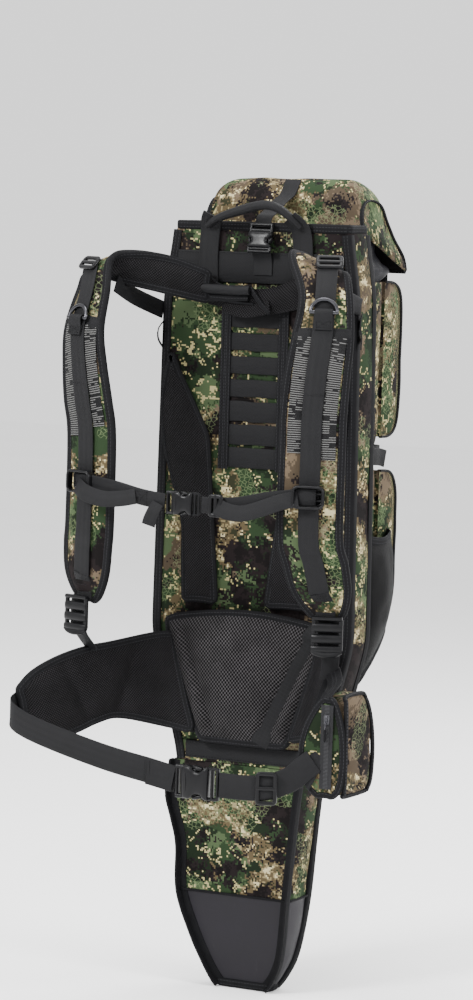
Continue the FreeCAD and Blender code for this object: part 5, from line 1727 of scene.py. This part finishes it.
def lid():
    """The lid with its bindings, strap, buckle and cloth hinge."""
    prof = [(30, 957), (31.5, 980), (35, 1002), (46, 1020), (66, 1028), (92, 1020), (116, 995), (138, 967),
            (152, 942),
            (158, 926), (160, 913)]
    prof = even(spline(prof, 4), 5)
    s = np.linspace(-1, 1, 49)
    xs = 116 * np.sin(s * math.pi / 2)
    kit = Kit()
    rows = []
    for x in xs:
        k = max(0.0, 1 - abs(x / 116) ** 13) ** (1 / 2.6)
        row = []
        for y, z in prof:
            low = 957 - 44 * (y - 30) / 130
            high = (z - low) * k
            # it narrows a little towards the top
            row.append((x * (1 - 0.0011 * high), 92 + (y - 92) * (0.9 + 0.1 * k), low + high))
        rows.append(row)
    verts = np.array(rows)
    out = verts - np.array([0, 88, 940.0])
    hold = np.clip((verts[..., 2] - (957 - 44 * (verts[..., 1] - 30) / 130)) / 18, 0, 1)
    verts += unit(out) * (fold_noise(verts, 3.6, 44, 5.0) - 1.4)[..., None] * hold[..., None]
    cloth = np.zeros(verts.shape[:2] + (2,))
    girth = lengths(np.column_stack([xs, 70 * np.maximum(0, 1 - np.abs(xs / 116) ** 13) ** (1 / 2.6)]))
    cloth[..., 0] = (girth - girth[-1] / 2)[:, None]
    cloth[..., 1] = lengths(prof)[None]
    n, m = verts.shape[:2]
    kit.add(verts.reshape(-1, 3), lattice(n, m), cloth.reshape(-1, 2))
    kit.piece("lid_cap", [CAMO, LINING], "lid", ("lid_shell",), thick=2.4)
    kit = Kit()
    edge = [(x, y, z) for x, y, z in verts[:, 0]]
    sweep(kit, even(np.array(edge)[3:-3], 5), (0, 0, 1), round_section(9, 4.4, 12, 3), 0)
    rim = verts[:, -1][3:-3]
    sweep(kit, even(rim, 5), (0, 0.4, 1), round_section(9, 4.2, 12, 3), 0)
    for i in (4, n - 5):
        side = verts[i] + unit(out[i]) * 0.8
        sweep(kit, even(side, 5), (1, 0, 0), round_section(6, 2.6, 12, 3), 0)
    kit.piece("lid_bindings", [TAPE], "lid")
    kit = Kit()
    x, y, z = 5, -37, 958
    line = [(x, y + 2.6, z + 6.5), (x, y + 4.0, z + 13), (x, y + 9, z + 20), (x, -15, 983), (x, 10, 996),
            (x, 33, 1006),
            (x, 48, 1024)]
    web(kit, line, (1, 0, 0), 22, 1.7)
    kit.piece("lid_webbing", [WEB], "lid", ("lid_strap",))
    buckle(("lid_buckle_socket", "pack", "lid_socket"), ("lid_buckle_plug", "lid", "lid_plug"),
           turned((x, y, z), ("X", -15)), wide=32, tall=26, deep=11, reach=12, loops=0.26)
    kit = Kit()
    web(kit, [(x, -39.5, 939), (x, -35, 930), (x, -31, 922), (x, -30.8, 905)], (1, 0, 0), 26, 1.8)
    kit.piece("lid_buckle_loop", [WEB])
    kit = Kit()
    rows = [[(x, 158.2 + 0.5 * math.sin(x / 19), z) for x in np.linspace(-89, 89, 25)]
            for z in np.linspace(866, 913, 14)]
    kit.add(np.array(rows).reshape(-1, 3), lattice(14, 25))
    tape = kit.piece("lid_hinge_cloth", [TAPE], replaces=("lid_hinge_tape",), ride=False, thick=1.4)
    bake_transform(tape)


def inner_parts():
    """The stiff sheet and stays stay as they are, with their own finish."""
    for name, mat in (("frame_sheet", BOARD), ("frame_stays", ALLOY)):
        mesh = nodes[name].data
        mesh.materials.clear()
        mesh.materials.append(mat)


# ------------------------------------------------------------------ stage

# name, place and size in millimetres, and power in watts
LAMPS = (("key", (-1100, -2500, 2300), 700, 150), ("side", (2700, -700, 1700), 900, 80),
         ("back", (600, 2400, 2200), 1400, 90), ("top", (0, -300, 3000), 1200, 70))


def stage():
    """The floor, the white surroundings and four soft lamps."""
    kit = Kit()
    marks = np.linspace(-9000, 9000, 9)
    kit.add([(x, y, -0.6) for y in marks for x in marks], lattice(len(marks), len(marks)))
    floor = kit.piece("floor", [FLOOR], ride=False)
    world = bpy.data.worlds.new("studio")
    bpy.context.scene.world = world
    world.use_nodes = True
    sky = world.node_tree.nodes["Background"].inputs
    sky["Color"].default_value = (1, 1, 1, 1)
    sky["Strength"].default_value = 1.45
    for name, place, size, power in LAMPS:
        data = bpy.data.lights.new(name, "AREA")
        data.size = size * MM
        data.energy = power
        lamp = bpy.data.objects.new(name, data)
        lamp.location = [c * MM for c in place]
        aim = Vector((0, -60 * MM, 560 * MM)) - lamp.location
        lamp.rotation_mode = "QUATERNION"
        lamp.rotation_quaternion = aim.to_track_quat("-Z", "Y")
        bpy.context.scene.collection.objects.link(lamp)


EYE_TURN, EYE_RISE, EYE_ROLL = 27, 5, 1.6      # degrees
EYE_DISTANCE, EYE_HEIGHT, EYE_SHIFT = 4500, 624, -22
LENS, SENSOR = 129.6, 36


def camera():
    """The camera, turned and tilted to the view wanted."""
    a, e, roll = (math.radians(v) for v in (EYE_TURN, EYE_RISE, EYE_ROLL))
    back = Vector((math.sin(a) * math.cos(e), -math.cos(a) * math.cos(e), math.sin(e)))
    flat = Vector((math.cos(a), math.sin(a), 0))
    upright = back.cross(flat)
    right = flat * math.cos(roll) + upright * math.sin(roll)
    up = upright * math.cos(roll) - flat * math.sin(roll)
    target = Vector((0, -27, EYE_HEIGHT)) + right * EYE_SHIFT
    data = bpy.data.cameras.new("camera")
    data.lens, data.sensor_width = LENS, SENSOR
    data.clip_end = 60
    cam = bpy.data.objects.new("camera", data)
    turn = Matrix((right, up, back)).transposed().to_4x4()
    cam.matrix_world = Matrix.Translation((target + back * EYE_DISTANCE) * MM) @ turn
    bpy.context.scene.collection.objects.link(cam)
    bpy.context.scene.camera = cam


camera()
stage()
scabbard()
ladder()
boot()
back_pads()
lumbar()
hip_wings()
shoulder_straps()
yoke()
lifters()
ladder_locks()
rings_and_tabs()
grab_handle()
triglides()
hip_belt()
sternum()
hip_pocket()
zips()
bag()
front_pockets()
mesh_pockets()
compression()
collar()
lid()
inner_parts()
